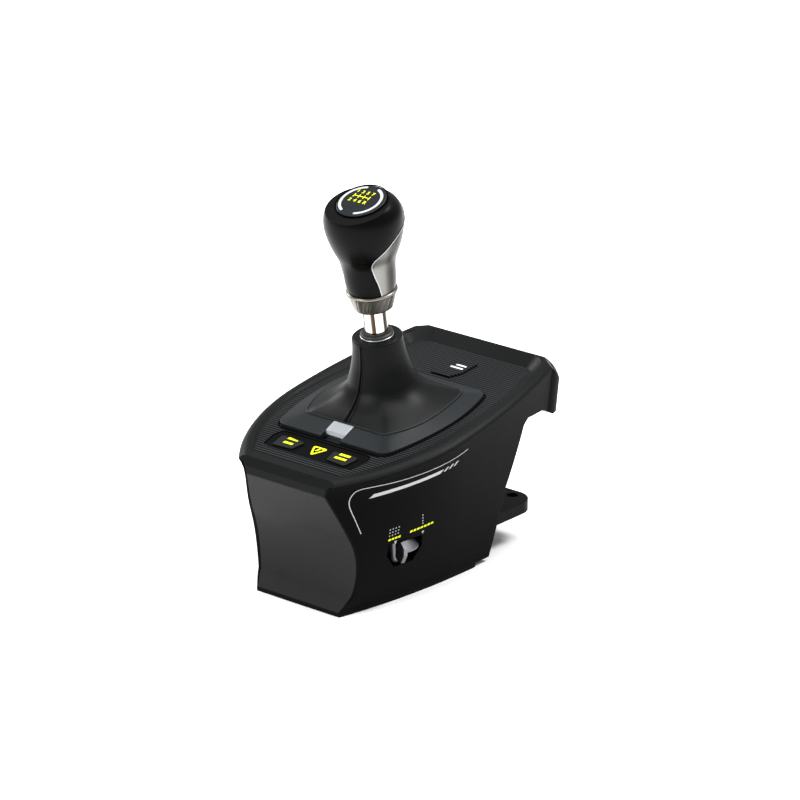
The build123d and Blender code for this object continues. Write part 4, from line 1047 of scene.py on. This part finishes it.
@dataclass
class Boot(Assembly):
    """Leatherette boot: a skirt that rises from the bezel and a sleeve up to the collar ring.

    Lifts are distances from the tray floor along the lever. At each lift the boot has a share of the
    bead's outline and the rest of a circle.
    """

    bead: TrayOutline = TrayOutline(45.4, 17.0, -17.0, 62.0, 58.0, 147.0, 3.5)
    plane_y: float = 20.0
    lifts: tuple[float, ...] = (4.9, 6.0, 7.5, 9.5, 12.0, 16.0, 21.0, 27.6, 37.3, 47.3, 53.6)
    bead_shares: tuple[float, ...] = (0.985, 0.94, 0.78, 0.56, 0.33, 0.12, 0.02, 0.0, 0.0, 0.0, 0.0)
    radii: tuple[float, ...] = (33.0, 32.0, 31.0, 29.5, 28.2, 26.4, 24.0, 21.7, 18.9, 17.5, 17.2)
    folds: tuple[Fold, ...] = (
        Fold(0.3, 5, 0.0, 0.6, 14.0, 5.0),
        Fold(0.15, 9, 0.12, 1.0, 14.0, 5.0),
        Fold(0.12, 4, 0.12, 0.0, 34.0, 9.0),
    )
    turn_lift: float = 6.0
    turn_length: float = 30.0
    turn_ease: float = 0.5
    pivot_drop: float = 36.2
    columns: int = 240
    skirt_rows: int = 44
    split_lift: float = 18.0
    sleeve_rows: int = 76
    top_lift: float = 55.0
    top_dip: float = 0.5
    hole_r: float = 11.2
    edge_rows: int = 8
    rim_rows: int = 6
    wall: float = 1.2
    rim_angle: float = math.radians(50.0)
    bend_low: float = 6.0
    bend_room: float = 0.3
    bend_high: float = 50.0
    piping_steps: int = 360
    piping_r: float = 0.9
    piping_lift: float = 5.65
    piping_inset: float = 0.6
    seam_start: float = 6.2
    seam_steps: int = 60
    seam_sink: float = 0.1
    seam_lines: tuple[tuple[str, float, float, Finish], ...] = (
        ("right_ridge", 0.05, 0.55, Palette.leatherette), ("groove", 0.0, 0.5, Palette.shade_line),
        ("left_ridge", -0.05, 0.55, Palette.leatherette),
    )
    rings: tuple[tuple[str, float, float, float], ...] = (
        ("collar_bright_ring", 10.9, 91.3, 0.6), ("shaft_bright_ring", 8.7, 91.5, 0.4),
    )
    ring_steps: int = 120
    round_steps: int = 10

    def place(self, angle: np.ndarray, radius: np.ndarray, lift: np.ndarray) -> np.ndarray:
        """Point at an angle, radius and lift: in the tray's plane near the bead, square to the lever above.

        Args:
            angle: Angles from +X, in radians.
            radius: Distances from the axis, in millimetres.
            lift: Distances above the tray floor, in millimetres.

        Returns:
            Points in metres.
        """
        origin, along, up = floor_basis(self.plane_y)
        share = np.clip((lift - self.turn_lift) / self.turn_length, 0.0, 1.0)[..., None]
        fore = along * (1 - share) + LEVER_Y * share
        fore = fore / np.linalg.norm(fore, axis=-1, keepdims=True)
        foot = origin + along * (BOOT_AXIS_Y - self.plane_y) * MM
        part = share * self.turn_ease
        centre = foot + (lift * MM)[..., None] * (up * (1 - part) + LEVER_Z * part)
        start = PIVOT + LEVER_Z * (lift[..., None] + self.pivot_drop) * MM
        centre = centre * (1 - share) + start * share
        r = (radius * MM)[..., None]
        return centre + r * np.cos(angle)[..., None] * LEVER_X + r * np.sin(angle)[..., None] * fore

    def radius(self, angle: np.ndarray, lift: np.ndarray) -> np.ndarray:
        """Radius of the boot: a share of the bead outline plus the rest of a circle, with soft folds.

        A fold is a sine round the axis times a bell curve over the lift.

        Args:
            angle: Angles from +X, in radians.
            lift: Distances above the tray floor, in millimetres.

        Returns:
            Distances from the axis, in millimetres.
        """
        share = np.clip(eased(lift, self.lifts, self.bead_shares), 0.0, 1.0)
        radius = share * self.bead.reach(angle) + (1 - share) * eased(lift, self.lifts, self.radii)
        for fold in self.folds:
            wave = fold.height * np.sin(angle * fold.count + lift * fold.twist + fold.phase)
            radius = radius + wave * np.exp(-(((lift - fold.middle) / fold.reach) ** 2))
        return radius

    def skirt(self) -> bpy.types.Object:
        """Skirt from the bead up to the split, an open skin.

        Returns:
            The piece, still without its body.
        """
        rows = np.linspace(self.lifts[0], self.split_lift, self.skirt_rows)
        angle, lift = np.meshgrid(full_turn(self.columns), rows)
        return grid_object("boot_leather_skirt", self.place(angle, self.radius(angle, lift), lift), None)

    def sleeve(self) -> bpy.types.Object:
        """Sleeve with its rolled top: the outer wall, a rounded edge and a flat rim down to the hole.

        Returns:
            The piece, still without its body.
        """
        around = full_turn(self.columns)
        rows = np.linspace(self.split_lift, self.lifts[-1], self.sleeve_rows)
        wall_angle, wall_lift = np.meshgrid(around, rows)
        turn = np.linspace(0, math.pi / 2, self.edge_rows)[1:]
        edge = self.top_lift - self.lifts[-1]
        edge_r = self.radii[-1] - edge + edge * np.cos(turn)
        inward = np.linspace(0, 1, self.rim_rows)[1:]
        rim_r = edge_r[-1] + (self.hole_r - edge_r[-1]) * inward
        top_r = np.concatenate([edge_r, rim_r])
        top_rows = [self.lifts[-1] + edge * np.sin(turn), self.top_lift - self.top_dip * inward ** 2]
        top_angle, top_lift = np.meshgrid(around, np.concatenate(top_rows))
        radius = np.vstack([
            self.radius(wall_angle, wall_lift), np.broadcast_to(top_r[:, None], top_angle.shape)
        ])
        points = self.place(np.vstack([wall_angle, top_angle]), radius, np.vstack([wall_lift, top_lift]))
        return grid_object("boot_leather_sleeve", points, None)

    def axis_point(self, lift: float) -> tuple[float, float, float]:
        """Point on the boot's axis at a lift."""
        return tuple(self.place(np.zeros(1), np.zeros(1), np.array([lift]))[0].tolist())

    def bend_skirt(self, piece: bpy.types.Object) -> None:
        """Bakes the placement of a piece of the skirt, which spans the housing and the cradle, into its
        mesh.
        """
        low, high = self.axis_point(self.bend_low), self.axis_point(self.split_lift - self.bend_room)
        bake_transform(piece)

    def bend_sleeve(self, piece: bpy.types.Object) -> None:
        """Bakes the placement of a piece of the sleeve, which spans the cradle and the lever, into its
        mesh.
        """
        low, high = self.axis_point(self.split_lift + self.bend_room), self.axis_point(self.bend_high)
        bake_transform(piece)

    def piping(self) -> None:
        """Piping along the bezel's inner edge, a round cord under leather."""
        angle = full_turn(self.piping_steps)
        lift = np.full_like(angle, self.piping_lift)
        path = self.place(angle, self.bead.reach(angle) - self.piping_inset, lift)
        self.cord(
            "boot_piping", path, self.piping_r, Palette.bezel_abs, Slot.GRAPHITE, Body.HOUSING,
            steps=self.round_steps,
        )

    def seam(self) -> None:
        """Raised seam down the front of the boot: two ridges half sunk into the skin and a dark groove."""
        for name, low, high, bend in (
            ("boot_seam_low", self.seam_start, self.split_lift, self.bend_skirt),
            ("boot_seam_high", self.split_lift, self.lifts[-1], self.bend_sleeve),
        ):
            lift = np.linspace(low, high, self.seam_steps)
            for tag, shift, radius, finish in self.seam_lines:
                angle = np.full_like(lift, -math.pi / 2 + shift)
                path = self.place(angle, self.radius(angle, lift) - self.seam_sink, lift)
                bend(self.cord(f"{name}_{tag}", path, radius, finish, Slot.LEATHER, None, closed=False))

    def collar_rings(self) -> None:
        """Two bright rings round the shaft at the top of the sleeve."""
        angle = full_turn(self.ring_steps)
        for name, radius, height, thick in self.rings:
            path = round_lever(angle, radius, np.full_like(angle, height))
            self.cord(
                name, path, thick, Palette.bright_alloy, Slot.ALLOY, Body.LEVER, steps=self.round_steps
            )

    def build(self) -> None:
        """Builds skirt, sleeve, piping, seam and collar rings."""
        skirt, sleeve = self.skirt(), self.sleeve()
        for piece in (skirt, sleeve):
            self.palette.dress(piece, Palette.leatherette, Slot.LEATHER)
            wall = piece.modifiers.new("wall", "SOLIDIFY")
            wall.thickness = self.wall * MM
            wall.offset = -1.0
            rim = piece.modifiers.new("rim", "EDGE_SPLIT")
            rim.split_angle = self.rim_angle
        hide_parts("boot_skirt")
        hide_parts("boot_sleeve")
        self.bend_skirt(skirt)
        self.bend_sleeve(sleeve)
        self.piping()
        self.seam()
        self.collar_rings()


@dataclass(frozen=True)
class KeyPrint:
    """Bars printed on one button: each runs from one X to another at a Y, with a half width."""

    side: str
    body: Body
    ink: Finish
    slot: Slot
    half: float
    bars: tuple[tuple[float, float, float], ...]


@dataclass
class Marks(Assembly):
    """Printed marks: plain bars, stripes and pointers, each a thin film on its surface.

    Places on the right wall are Y and Z, places on the deck are X and Y. A shape is four corners round
    its own place.
    """

    film: float = 0.05
    thin_line: Points = (
        (-55.9, 59.4), (-60.3, 70.6), (-64.1, 81.0), (-64.3, 84.6), (-63.4, 88.3), (-61.6, 91.0),
        (-58.4, 92.4), (-53.8, 92.9), (-44.5, 93.5), (-34.5, 94.2), (-20.1, 95.7), (-4.1, 97.7),
        (4.7, 99.1), (13.8, 101.0), (21.5, 103.2),
    )
    thin_line_w: float = 0.58
    thin_line_steps: int = 160
    stripe: Points = ((-52.6, 84.2), (-1.6, 91.2), (1.0, 94.2), (-49.9, 87.2))
    stripe_steps: int = 60
    slashes: Points = ((1.2, 91.7), (5.5, 92.5), (9.9, 93.4))
    slash_shape: Points = ((0.0, 0.0), (1.9, 0.3), (4.4, 3.5), (2.5, 3.2))
    pointers: tuple[tuple[str, float, float], ...] = (("front", -28.3, 46.6), ("rear", -5.0, 47.8))
    pointer_shape: Points = ((-1.2, 1.0), (1.2, 1.2), (0.1, -1.0), (-0.1, -1.0))
    bar_rows: tuple[tuple[str, tuple[float, float], tuple[float, float], int], ...] = (
        ("front", (-34.6, 48.9), (-24.0, 49.7), 4), ("rear", (-17.0, 50.6), (4.0, 52.2), 7),
    )
    bar_share: float = 0.72
    bar_rise: tuple[float, float] = (0.25, 1.5)
    gate_dots: tuple[int, int] = (3, 4)
    gate_dot_start: tuple[float, float] = (-34.4, 52.2)
    gate_dot_pitch: float = 2.3
    gate_dot_climb: float = 0.2
    gate_dot_shape: Points = ((0.0, 0.0), (0.8, 0.1), (0.8, 0.9), (0.0, 0.8))
    shift_dots: int = 4
    shift_dot_start: tuple[float, float] = (-7.0, 54.4)
    shift_dot_step: tuple[float, float] = (-0.5, 2.2)
    shift_dot_shape: Points = ((0.0, 0.0), (0.8, 0.1), (0.8, 1.1), (0.0, 1.0))
    keys: tuple[KeyPrint, ...] = (
        KeyPrint("left", Body.LEFT, Palette.lime_ink, Slot.KEY, 1.15,
                 ((-27.0, -18.2, -43.3), (-26.2, -18.4, -48.7))),
        KeyPrint("right", Body.RIGHT, Palette.lime_ink, Slot.KEY, 1.15,
                 ((18.9, 27.8, -43.9), (18.4, 28.2, -48.5))),
        KeyPrint("rear", Body.REAR, Palette.bright_ink, Slot.MAT, 0.85,
                 ((0.4, 8.8, 98.7), (-1.4, 9.0, 94.6))),
    )
    sign_centre: tuple[float, float] = (0.4, -45.2)
    sign_stretch: tuple[float, float] = (1.05, 1.1)
    sign_sides_deg: tuple[float, ...] = (90.0, 210.0, 330.0)
    sign_power: float = 3.5
    sign_radii: tuple[float, float] = (2.3, 3.6)
    sign_steps: int = 91
    sign_bar: Points = ((-0.9, -46.6), (0.5, -46.6), (1.7, -43.2), (0.3, -43.2))

    def lay(self, name: str, grid: np.ndarray, skin: Skin, body: Body, ink: Finish, slot: Slot) -> None:
        """Lays a flat grid on the outermost surface below it, facing outward.

        Args:
            name: Name of the mark.
            grid: Rows by columns by 2, in millimetres, on the two axes that the skin isn't read along.
            skin: The surface.
            body: The body that the mark rides on.
            ink: Its ink.
            slot: Material slot.
        """
        points = skin.place(grid[..., 0] * MM, grid[..., 1] * MM, self.film * MM)
        turn = np.cross(points[0, 1] - points[0, 0], points[1, 0] - points[0, 0])[skin.axis]
        if turn < 0:
            points = points[::-1]
        piece = grid_object(name, points, body, wrap_cols=False)
        self.palette.dress(piece, ink, slot)

    @cached_property
    def wall(self) -> Skin:
        """The right wall, read from its side."""
        return Skin("right_shell", Axis.X)

    def lay_on_wall(self, name: str, grid: np.ndarray, ink: Finish = Palette.white_ink) -> None:
        """Lays a mark on the right wall."""
        self.lay(name, grid, self.wall, Body.HOUSING, ink, Slot.BLACK)

    def side_stripes(self) -> None:
        """Thin line that turns round the front corner of the side, the thick stripe and three slashes."""
        line = band_path(self.thin_line, self.thin_line_w, self.thin_line_steps)
        self.lay_on_wall("side_thin_line", line)
        self.lay_on_wall("side_thick_stripe", bar_grid(self.stripe, self.stripe_steps, 2))
        for index, spot in enumerate(self.slashes):
            slash = bar_grid(np.array(self.slash_shape) + spot, 4, 4)
            self.lay_on_wall(f"side_slash_{index + 1}", slash)

    def selector_marks(self) -> None:
        """Pointers, plain bars and dot patterns above the mode selector."""
        for side, y, z in self.pointers:
            self.lay_on_wall(f"{side}_pointer", bar_grid(np.array(self.pointer_shape) + (y, z), 3, 3))
        for side, start, end, count in self.bar_rows:
            step = (np.array(end) - start) / count
            for index in range(count):
                first = start + step * index
                last = first + step * self.bar_share
                bar = np.array([first, last, last + self.bar_rise, first + self.bar_rise])
                self.lay_on_wall(f"{side}_bar_{index + 1}", bar_grid(bar, 3, 2), Palette.lime_ink)
        for row, column in np.ndindex(self.gate_dots):
            along = np.array([self.gate_dot_pitch, self.gate_dot_climb]) * column
            spot = self.gate_dot_start + along + (0.0, self.gate_dot_pitch * row)
            dot = bar_grid(np.array(self.gate_dot_shape) + spot, 2, 2)
            self.lay_on_wall(f"gate_dot_{row + 1}_{column + 1}", dot)
        for index in range(self.shift_dots):
            spot = np.array(self.shift_dot_start) + np.array(self.shift_dot_step) * index
            dot = bar_grid(np.array(self.shift_dot_shape) + spot, 2, 2)
            self.lay_on_wall(f"shift_dot_{index + 1}", dot)

    def key_marks(self) -> None:
        """Two bars on each button."""
        for key in self.keys:
            top = Skin(f"{key.side}_button", Axis.Z)
            for index, (left, right, y) in enumerate(key.bars):
                low, high = y - key.half, y + key.half
                bar = bar_grid(((left, low), (right, low), (right, high), (left, high)), 8, 3)
                self.lay(f"{key.side}_key_bar_{index + 1}", bar, top, key.body, key.ink, key.slot)

    def sign_line(self, reach: float) -> np.ndarray:
        """Rounded triangle that points to the driver.

        Its radius is the smooth least of the distances to three sides: the sum of the cosines to the
        sides, each to a power, to the power of minus one over it.

        Args:
            reach: Distance to each side in millimetres.

        Returns:
            Points N by 2 in millimetres.
        """
        angle = np.linspace(0, TURN, self.sign_steps)
        sides = np.radians(np.array(self.sign_sides_deg))
        facing = np.maximum(np.cos(angle[:, None] - sides[None]), 0.0)
        radius = reach * (facing ** self.sign_power).sum(axis=1) ** (-1 / self.sign_power)
        return radius[:, None] * (circle(angle) * self.sign_stretch) + self.sign_centre

    def sign(self) -> None:
        """The pointed sign between the front buttons: a thick lime ring with a short bar in it."""
        panel = Skin("button_panel", Axis.Z)
        ring = np.stack([self.sign_line(reach) for reach in self.sign_radii])
        for name, grid in (("sign_ring", ring), ("sign_bar", bar_grid(self.sign_bar, 3, 6))):
            self.lay(name, grid, panel, Body.HOUSING, Palette.lime_ink, Slot.GRAPHITE)

    def build(self) -> None:
        """Prints every mark."""
        self.side_stripes()
        self.selector_marks()
        self.key_marks()
        self.sign()


@dataclass
class KnobHead(Assembly):
    """Marks of the knob cap, its groove, the bright edge of the back insert and the fluted ferrule.

    Cap places are across and up the face of the cap. Heights on the lever are distances from its pivot.
    The knob's side is a radius at each height, and the insert's edge is a place behind the axis at each
    height. The ferrule's profile is pairs of radius and height.
    """

    cap_centre: tuple[float, float, float] = (0.0, 0.255, 264.93)
    cap_tilt: tuple[float, float] = (-0.36, 0.93)
    cap_r: float = 17.4
    film: float = 0.06
    arc_centre: tuple[float, float] = (-0.8, 0.3)
    arc_r: float = 14.3
    arc_w: float = 2.0
    arc_steps: int = 90
    arcs: tuple[tuple[str, tuple[float, float]], ...] = (
        ("cap_arc_right", (74.0, -73.0)), ("cap_arc_left", (107.0, 247.0)),
    )
    columns: tuple[float, ...] = (-9.0, -4.8, -0.7, 3.7)
    numerals: tuple[tuple[str, str], ...] = (("1", "2"), ("3", "4"), ("5", "6"), ("7", "R"))
    row_high: float = 8.6
    row_low: float = -1.0
    row_room: float = 2.9
    stroke: float = 0.6
    numeral_size: float = 4.0
    numeral_bolder: float = 0.025
    groove_out: float = 0.35
    groove_r: float = 0.42
    groove_sink: float = 0.15
    groove_steps: int = 180
    side_r: tuple[float, ...] = (16.2, 17.6, 19.0, 21.5, 24.9, 26.8, 25.2, 19.5)
    side_s: tuple[float, ...] = (125.6, 138.0, 148.0, 154.0, 163.5, 175.0, 184.0, 190.6)
    edge_y: tuple[float, ...] = (-7.0, -8.6, -11.5, -13.0, -10.0, -5.0, 1.4, 17.0, 24.0, 30.0)
    edge_s: tuple[float, ...] = (126.0, 133.0, 143.0, 154.0, 158.0, 163.0, 168.0, 175.0, 183.0, 190.0)
    edge_top: float = 186.0
    edge_steps: int = 400
    edge_lines: tuple[tuple[str, float, float, Finish], ...] = (
        ("insert_bright_edge", 0.25, 0.42, Palette.bright_alloy),
        ("insert_gap", -0.42, 0.3, Palette.shade_line),
    )
    edge_meets: float = 0.3
    least_step: float = 0.02
    parting_deg: tuple[float, float] = (-37.0, -64.0)
    parting_s: tuple[float, float] = (154.0, 152.6)
    parting_steps: int = 40
    parting_lift: float = 0.02
    parting_r: float = 0.16
    bore_room: float = 0.25
    bore_s: tuple[float, float] = (112.2, 125.5)
    ferrule_foot: Points = ((12.2, 112.0), (13.0, 112.15), (13.45, 112.7), (13.75, 113.6))
    ferrule_shoulder: tuple[float, float] = (17.2, 123.6)
    ferrule_rows: int = 15
    ferrule_lip: Points = ((17.45, 123.9), (17.5, 124.4), (17.35, 125.1), (16.9, 125.5))
    ferrule_columns: int = 528
    flutes: int = 22
    flute_depth: float = 0.22
    flute_lean: float = -0.02
    flute_width: float = 0.16
    flute_origin: float = 112.0
    flute_low: tuple[float, float] = (112.6, 1.2)
    flute_high: tuple[float, float] = (123.7, 0.8)
    flute_least_r: float = 12.9

    def on_cap(self, flat: np.ndarray, lift: float) -> np.ndarray:
        """Places points of the cap's face into the frame.

        Args:
            flat: Places across and up the face, last axis of 2, in millimetres.
            lift: Height above the face in millimetres.

        Returns:
            Points in metres.
        """
        back, rise = np.array(self.cap_tilt) / math.hypot(*self.cap_tilt)
        up, out = np.array([0.0, rise, -back]), np.array([0.0, back, rise])
        place = self.cap_centre + flat[..., :1] * LEVER_X + flat[..., 1:2] * up + lift * out
        return place * MM

    def print_grid(self, name: str, grid: np.ndarray, ink: Finish) -> None:
        """Prints a flat grid on the cap, facing outward.

        Args:
            name: Name of the mark.
            grid: Rows by columns by 2, in millimetres.
            ink: Its ink.
        """
        along, across = grid[0, 1] - grid[0, 0], grid[1, 0] - grid[0, 0]
        if along[0] * across[1] - along[1] * across[0] < 0:
            grid = grid[::-1]
        piece = grid_object(name, self.on_cap(grid, self.film), Body.LEVER, wrap_cols=False)
        self.palette.dress(piece, ink, Slot.GRIP)

    def gate_line(self, name: str, low: tuple[float, float], high: tuple[float, float]) -> None:
        """Prints one straight line of the gate between two opposite corners."""
        corners = (low, (high[0], low[1]), high, (low[0], high[1]))
        self.print_grid(name, bar_grid(corners, 2, 2), Palette.lime_ink)

    def numeral(self, body: str, x: float, y: float) -> None:
        """Prints one numeral on the cap.

        Args:
            body: The character.
            x: Place of its middle across the face.
            y: Place of its middle up the face.
        """
        flat, faces = flat_text(body, self.numeral_size, self.numeral_bolder)
        points = self.on_cap(flat + np.array([x, y]), self.film)
        piece = mesh_object(f"cap_numeral_{body}", points, faces, Body.LEVER)
        self.palette.dress(piece, Palette.lime_ink, Slot.GRIP)

    def cap_marks(self) -> None:
        """Two arcs, the seven numerals with R, and the lines of the shift gate between them."""
        for name, ends in self.arcs:
            arc = arc_band(self.arc_centre, self.arc_r, self.arc_w, ends, self.arc_steps)
            self.print_grid(name, arc, Palette.white_ink)
        high, low = self.row_high - self.row_room, self.row_low + self.row_room
        middle, half = (high + low) / 2, self.stroke / 2
        for index, x in enumerate(self.columns):
            self.gate_line(f"cap_gate_{index + 1}", (x - half, low), (x + half, high))
        first, last = self.columns[0], self.columns[-1]
        self.gate_line("cap_gate_cross", (first, middle - half), (last, middle + half))
        for x, (upper, lower) in zip(self.columns, self.numerals):
            self.numeral(upper, x, self.row_high)
            self.numeral(lower, x, self.row_low)

    def cap_groove(self) -> None:
        """Shadow gap round the cap: a thin dark ring half sunk beside it."""
        ring = (self.cap_r + self.groove_out) * circle(full_turn(self.groove_steps))
        path = self.on_cap(ring, -self.groove_sink)
        self.cord("cap_gap", path, self.groove_r, Palette.shade_line, Slot.GRIP, Body.LEVER)

    def insert_edge(self) -> None:
        """Bright edge of the back insert and the dark gap beside it.

        The edge is where the knob's side, a circle of radius R at each height, meets the boundary
        y(s), so x is the root of R squared less y squared.
        """
        s = np.linspace(self.edge_s[0], self.edge_top, self.edge_steps)
        y, r = eased(s, self.edge_s, self.edge_y), eased(s, self.side_s, self.side_r)
        past = np.flatnonzero(np.abs(y) >= r)
        last = past[0] if len(past) else len(s)
        s, y, r = s[:last], y[:last], r[:last]
        for name, shift, radius, finish in self.edge_lines:
            at_y = np.clip(y + shift, -r, r)
            x = np.sqrt(np.maximum(r * r - at_y * at_y, 0.0))
            right = np.stack([x, at_y, s], axis=-1)
            left = right[::-1] * np.array([-1.0, 1.0, 1.0])
            path = on_lever(np.vstack([right, left[1:] if x[-1] < self.edge_meets else left]))
            far = np.linalg.norm(np.diff(path, axis=0), axis=1) > self.least_step * MM
            path = path[np.concatenate([[True], far])]
            self.cord(name, path, radius, finish, Slot.ALLOY, Body.LEVER, closed=False)

    def grip_seam(self) -> None:
        """Short parting line from the insert's corner round the front of the grip."""
        angle = np.radians(np.linspace(*self.parting_deg, self.parting_steps))
        s = np.linspace(*self.parting_s, self.parting_steps)
        path = round_lever(angle, eased(s, self.side_s, self.side_r) + self.parting_lift, s)
        self.cord(
            "grip_parting_line", path, self.parting_r, Palette.shade_line, Slot.GRIP, Body.LEVER,
            closed=False,
        )

    def ferrule(self) -> None:
        """Fluted ferrule: a turned ring whose side has narrow leaning grooves.

        The radius falls by the groove's depth times a bell curve of the sine of half the flute angle,
        and the flute angle grows with height, which leans the grooves. They fade in above the foot and
        out below the lip.
        """
        low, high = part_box("lever_shaft")
        bore = (high[0] - low[0]) / 2 / MM + self.bore_room
        cone = np.linspace(self.ferrule_foot[-1], self.ferrule_shoulder, self.ferrule_rows)[1:]
        profile = np.vstack([
            (bore, self.bore_s[0]), self.ferrule_foot, cone, self.ferrule_lip, (bore, self.bore_s[1])
        ])
        turned = turned_grid(profile, self.ferrule_columns)
        x, y, s = turned[..., 0], turned[..., 1], turned[..., 2]
        angle, radius = np.arctan2(y, x), np.hypot(x, y)
        phase = self.flutes / 2 * (angle + self.flute_lean * (s - self.flute_origin))
        start, fade_in = self.flute_low
        end, fade_out = self.flute_high
        inside = np.clip((s - start) / fade_in, 0, 1) * np.clip((end - s) / fade_out, 0, 1)
        inside = inside * (radius > self.flute_least_r)
        radius = radius - self.flute_depth * inside * np.exp(-((np.sin(phase) / self.flute_width) ** 2))
        points = round_lever(angle, radius, s)
        piece = grid_object("knob_ferrule_fluted", points, Body.LEVER, wrap_rows=True)
        self.palette.dress(piece, Palette.satin_alloy, Slot.ALLOY)
        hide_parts("knob_ferrule")

    def build(self) -> None:
        """Builds marks, groove, edges and ferrule."""
        self.cap_marks()
        self.cap_groove()
        self.insert_edge()
        self.grip_seam()
        self.ferrule()


@dataclass(frozen=True)
class Softbox:
    """A square soft light: its place and edge in metres, its power in watts."""

    name: str
    place: tuple[float, float, float]
    size: float
    power: float


@dataclass
class Studio(Assembly):
    """Pale floor, soft lights and the camera at the photograph's view."""

    azimuth_deg: float = 40.3
    elevation_deg: float = 20.1
    lens: float = 200.0
    sensor: float = 36.0
    camera_place: tuple[float, float, float] = (1815.9, -2101.8, 1142.5)
    clip_end_m: float = 30.0
    floor_half_m: float = 6.0
    ambient: float = 0.5
    aim_m: tuple[float, float, float] = (0.0, 0.0, 0.12)
    lights: tuple[Softbox, ...] = (
        Softbox("overhead_light", (0.0, 0.3, 3.2), 3.0, 150.0),
        Softbox("front_light", (-0.7, -2.2, 1.6), 1.2, 40.0),
        Softbox("right_light", (1.2, 1.5, 2.6), 0.8, 60.0),
        Softbox("left_light", (-2.0, 0.2, 1.2), 0.8, 24.0),
    )

    def floor(self) -> None:
        """Adds the floor of the studio."""
        size = self.floor_half_m
        mesh = bpy.data.meshes.new("studio_floor")
        mesh.from_pydata([(-size, -size, 0), (size, -size, 0), (size, size, 0), (-size, size, 0)],
                         [], [(0, 1, 2, 3)])
        floor = bpy.data.objects.new("studio_floor", mesh)
        bpy.context.scene.collection.objects.link(floor)
        self.palette.dress(floor, Palette.floor_paint)

    def world(self) -> None:
        """Adds the even white light round the object, and the plain view transform."""
        world = bpy.data.worlds.new("studio")
        world.use_nodes = True
        background = world.node_tree.nodes["Background"]
        background.inputs["Color"].default_value = (1, 1, 1, 1)
        background.inputs["Strength"].default_value = self.ambient
        bpy.context.scene.world = world
        bpy.context.scene.view_settings.view_transform = "Standard"

    def light(self, box: Softbox) -> None:
        """Adds a soft light that faces the object.

        Args:
            box: The light.
        """
        lamp = bpy.data.lights.new(box.name, "AREA")
        lamp.energy = box.power
        lamp.size = box.size
        light = bpy.data.objects.new(box.name, lamp)
        light.location = box.place
        aim = np.array(self.aim_m) - np.array(box.place)
        pitch = math.atan2(math.hypot(aim[0], aim[1]), -aim[2])
        light.rotation_euler = (pitch, 0.0, math.atan2(aim[1], aim[0]) - math.pi / 2)
        bpy.context.scene.collection.objects.link(light)

    def camera(self) -> None:
        """Adds the camera at the photograph's place."""
        camera = bpy.data.cameras.new("camera")
        camera.lens = self.lens
        camera.sensor_width = self.sensor
        camera.clip_end = self.clip_end_m
        view = bpy.data.objects.new("camera", camera)
        view.location = [v * MM for v in self.camera_place]
        tilt, turn = math.radians(90.0 - self.elevation_deg), math.radians(self.azimuth_deg)
        view.rotation_euler = (tilt, 0.0, turn)
        bpy.context.scene.collection.objects.link(view)
        bpy.context.scene.camera = view

    def build(self) -> None:
        """Adds floor, world, lights and camera."""
        self.floor()
        self.world()
        for box in self.lights:
            self.light(box)
        self.camera()


def main() -> None:
    """Builds every sub-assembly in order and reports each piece."""
    logging.basicConfig(level=logging.INFO, format="%(name)s: %(message)s")
    palette = Palette()
    for kind in (Studio, PackedNodes, DeckLines, Boot, Marks, KnobHead):
        known = set(bpy.data.objects.keys())
        kind(palette).build()
        for name in bpy.data.objects.keys():
            if name not in known:
                LOG.info("%s made %s", kind.__name__, name)


if __name__ == "__main__":
    main()
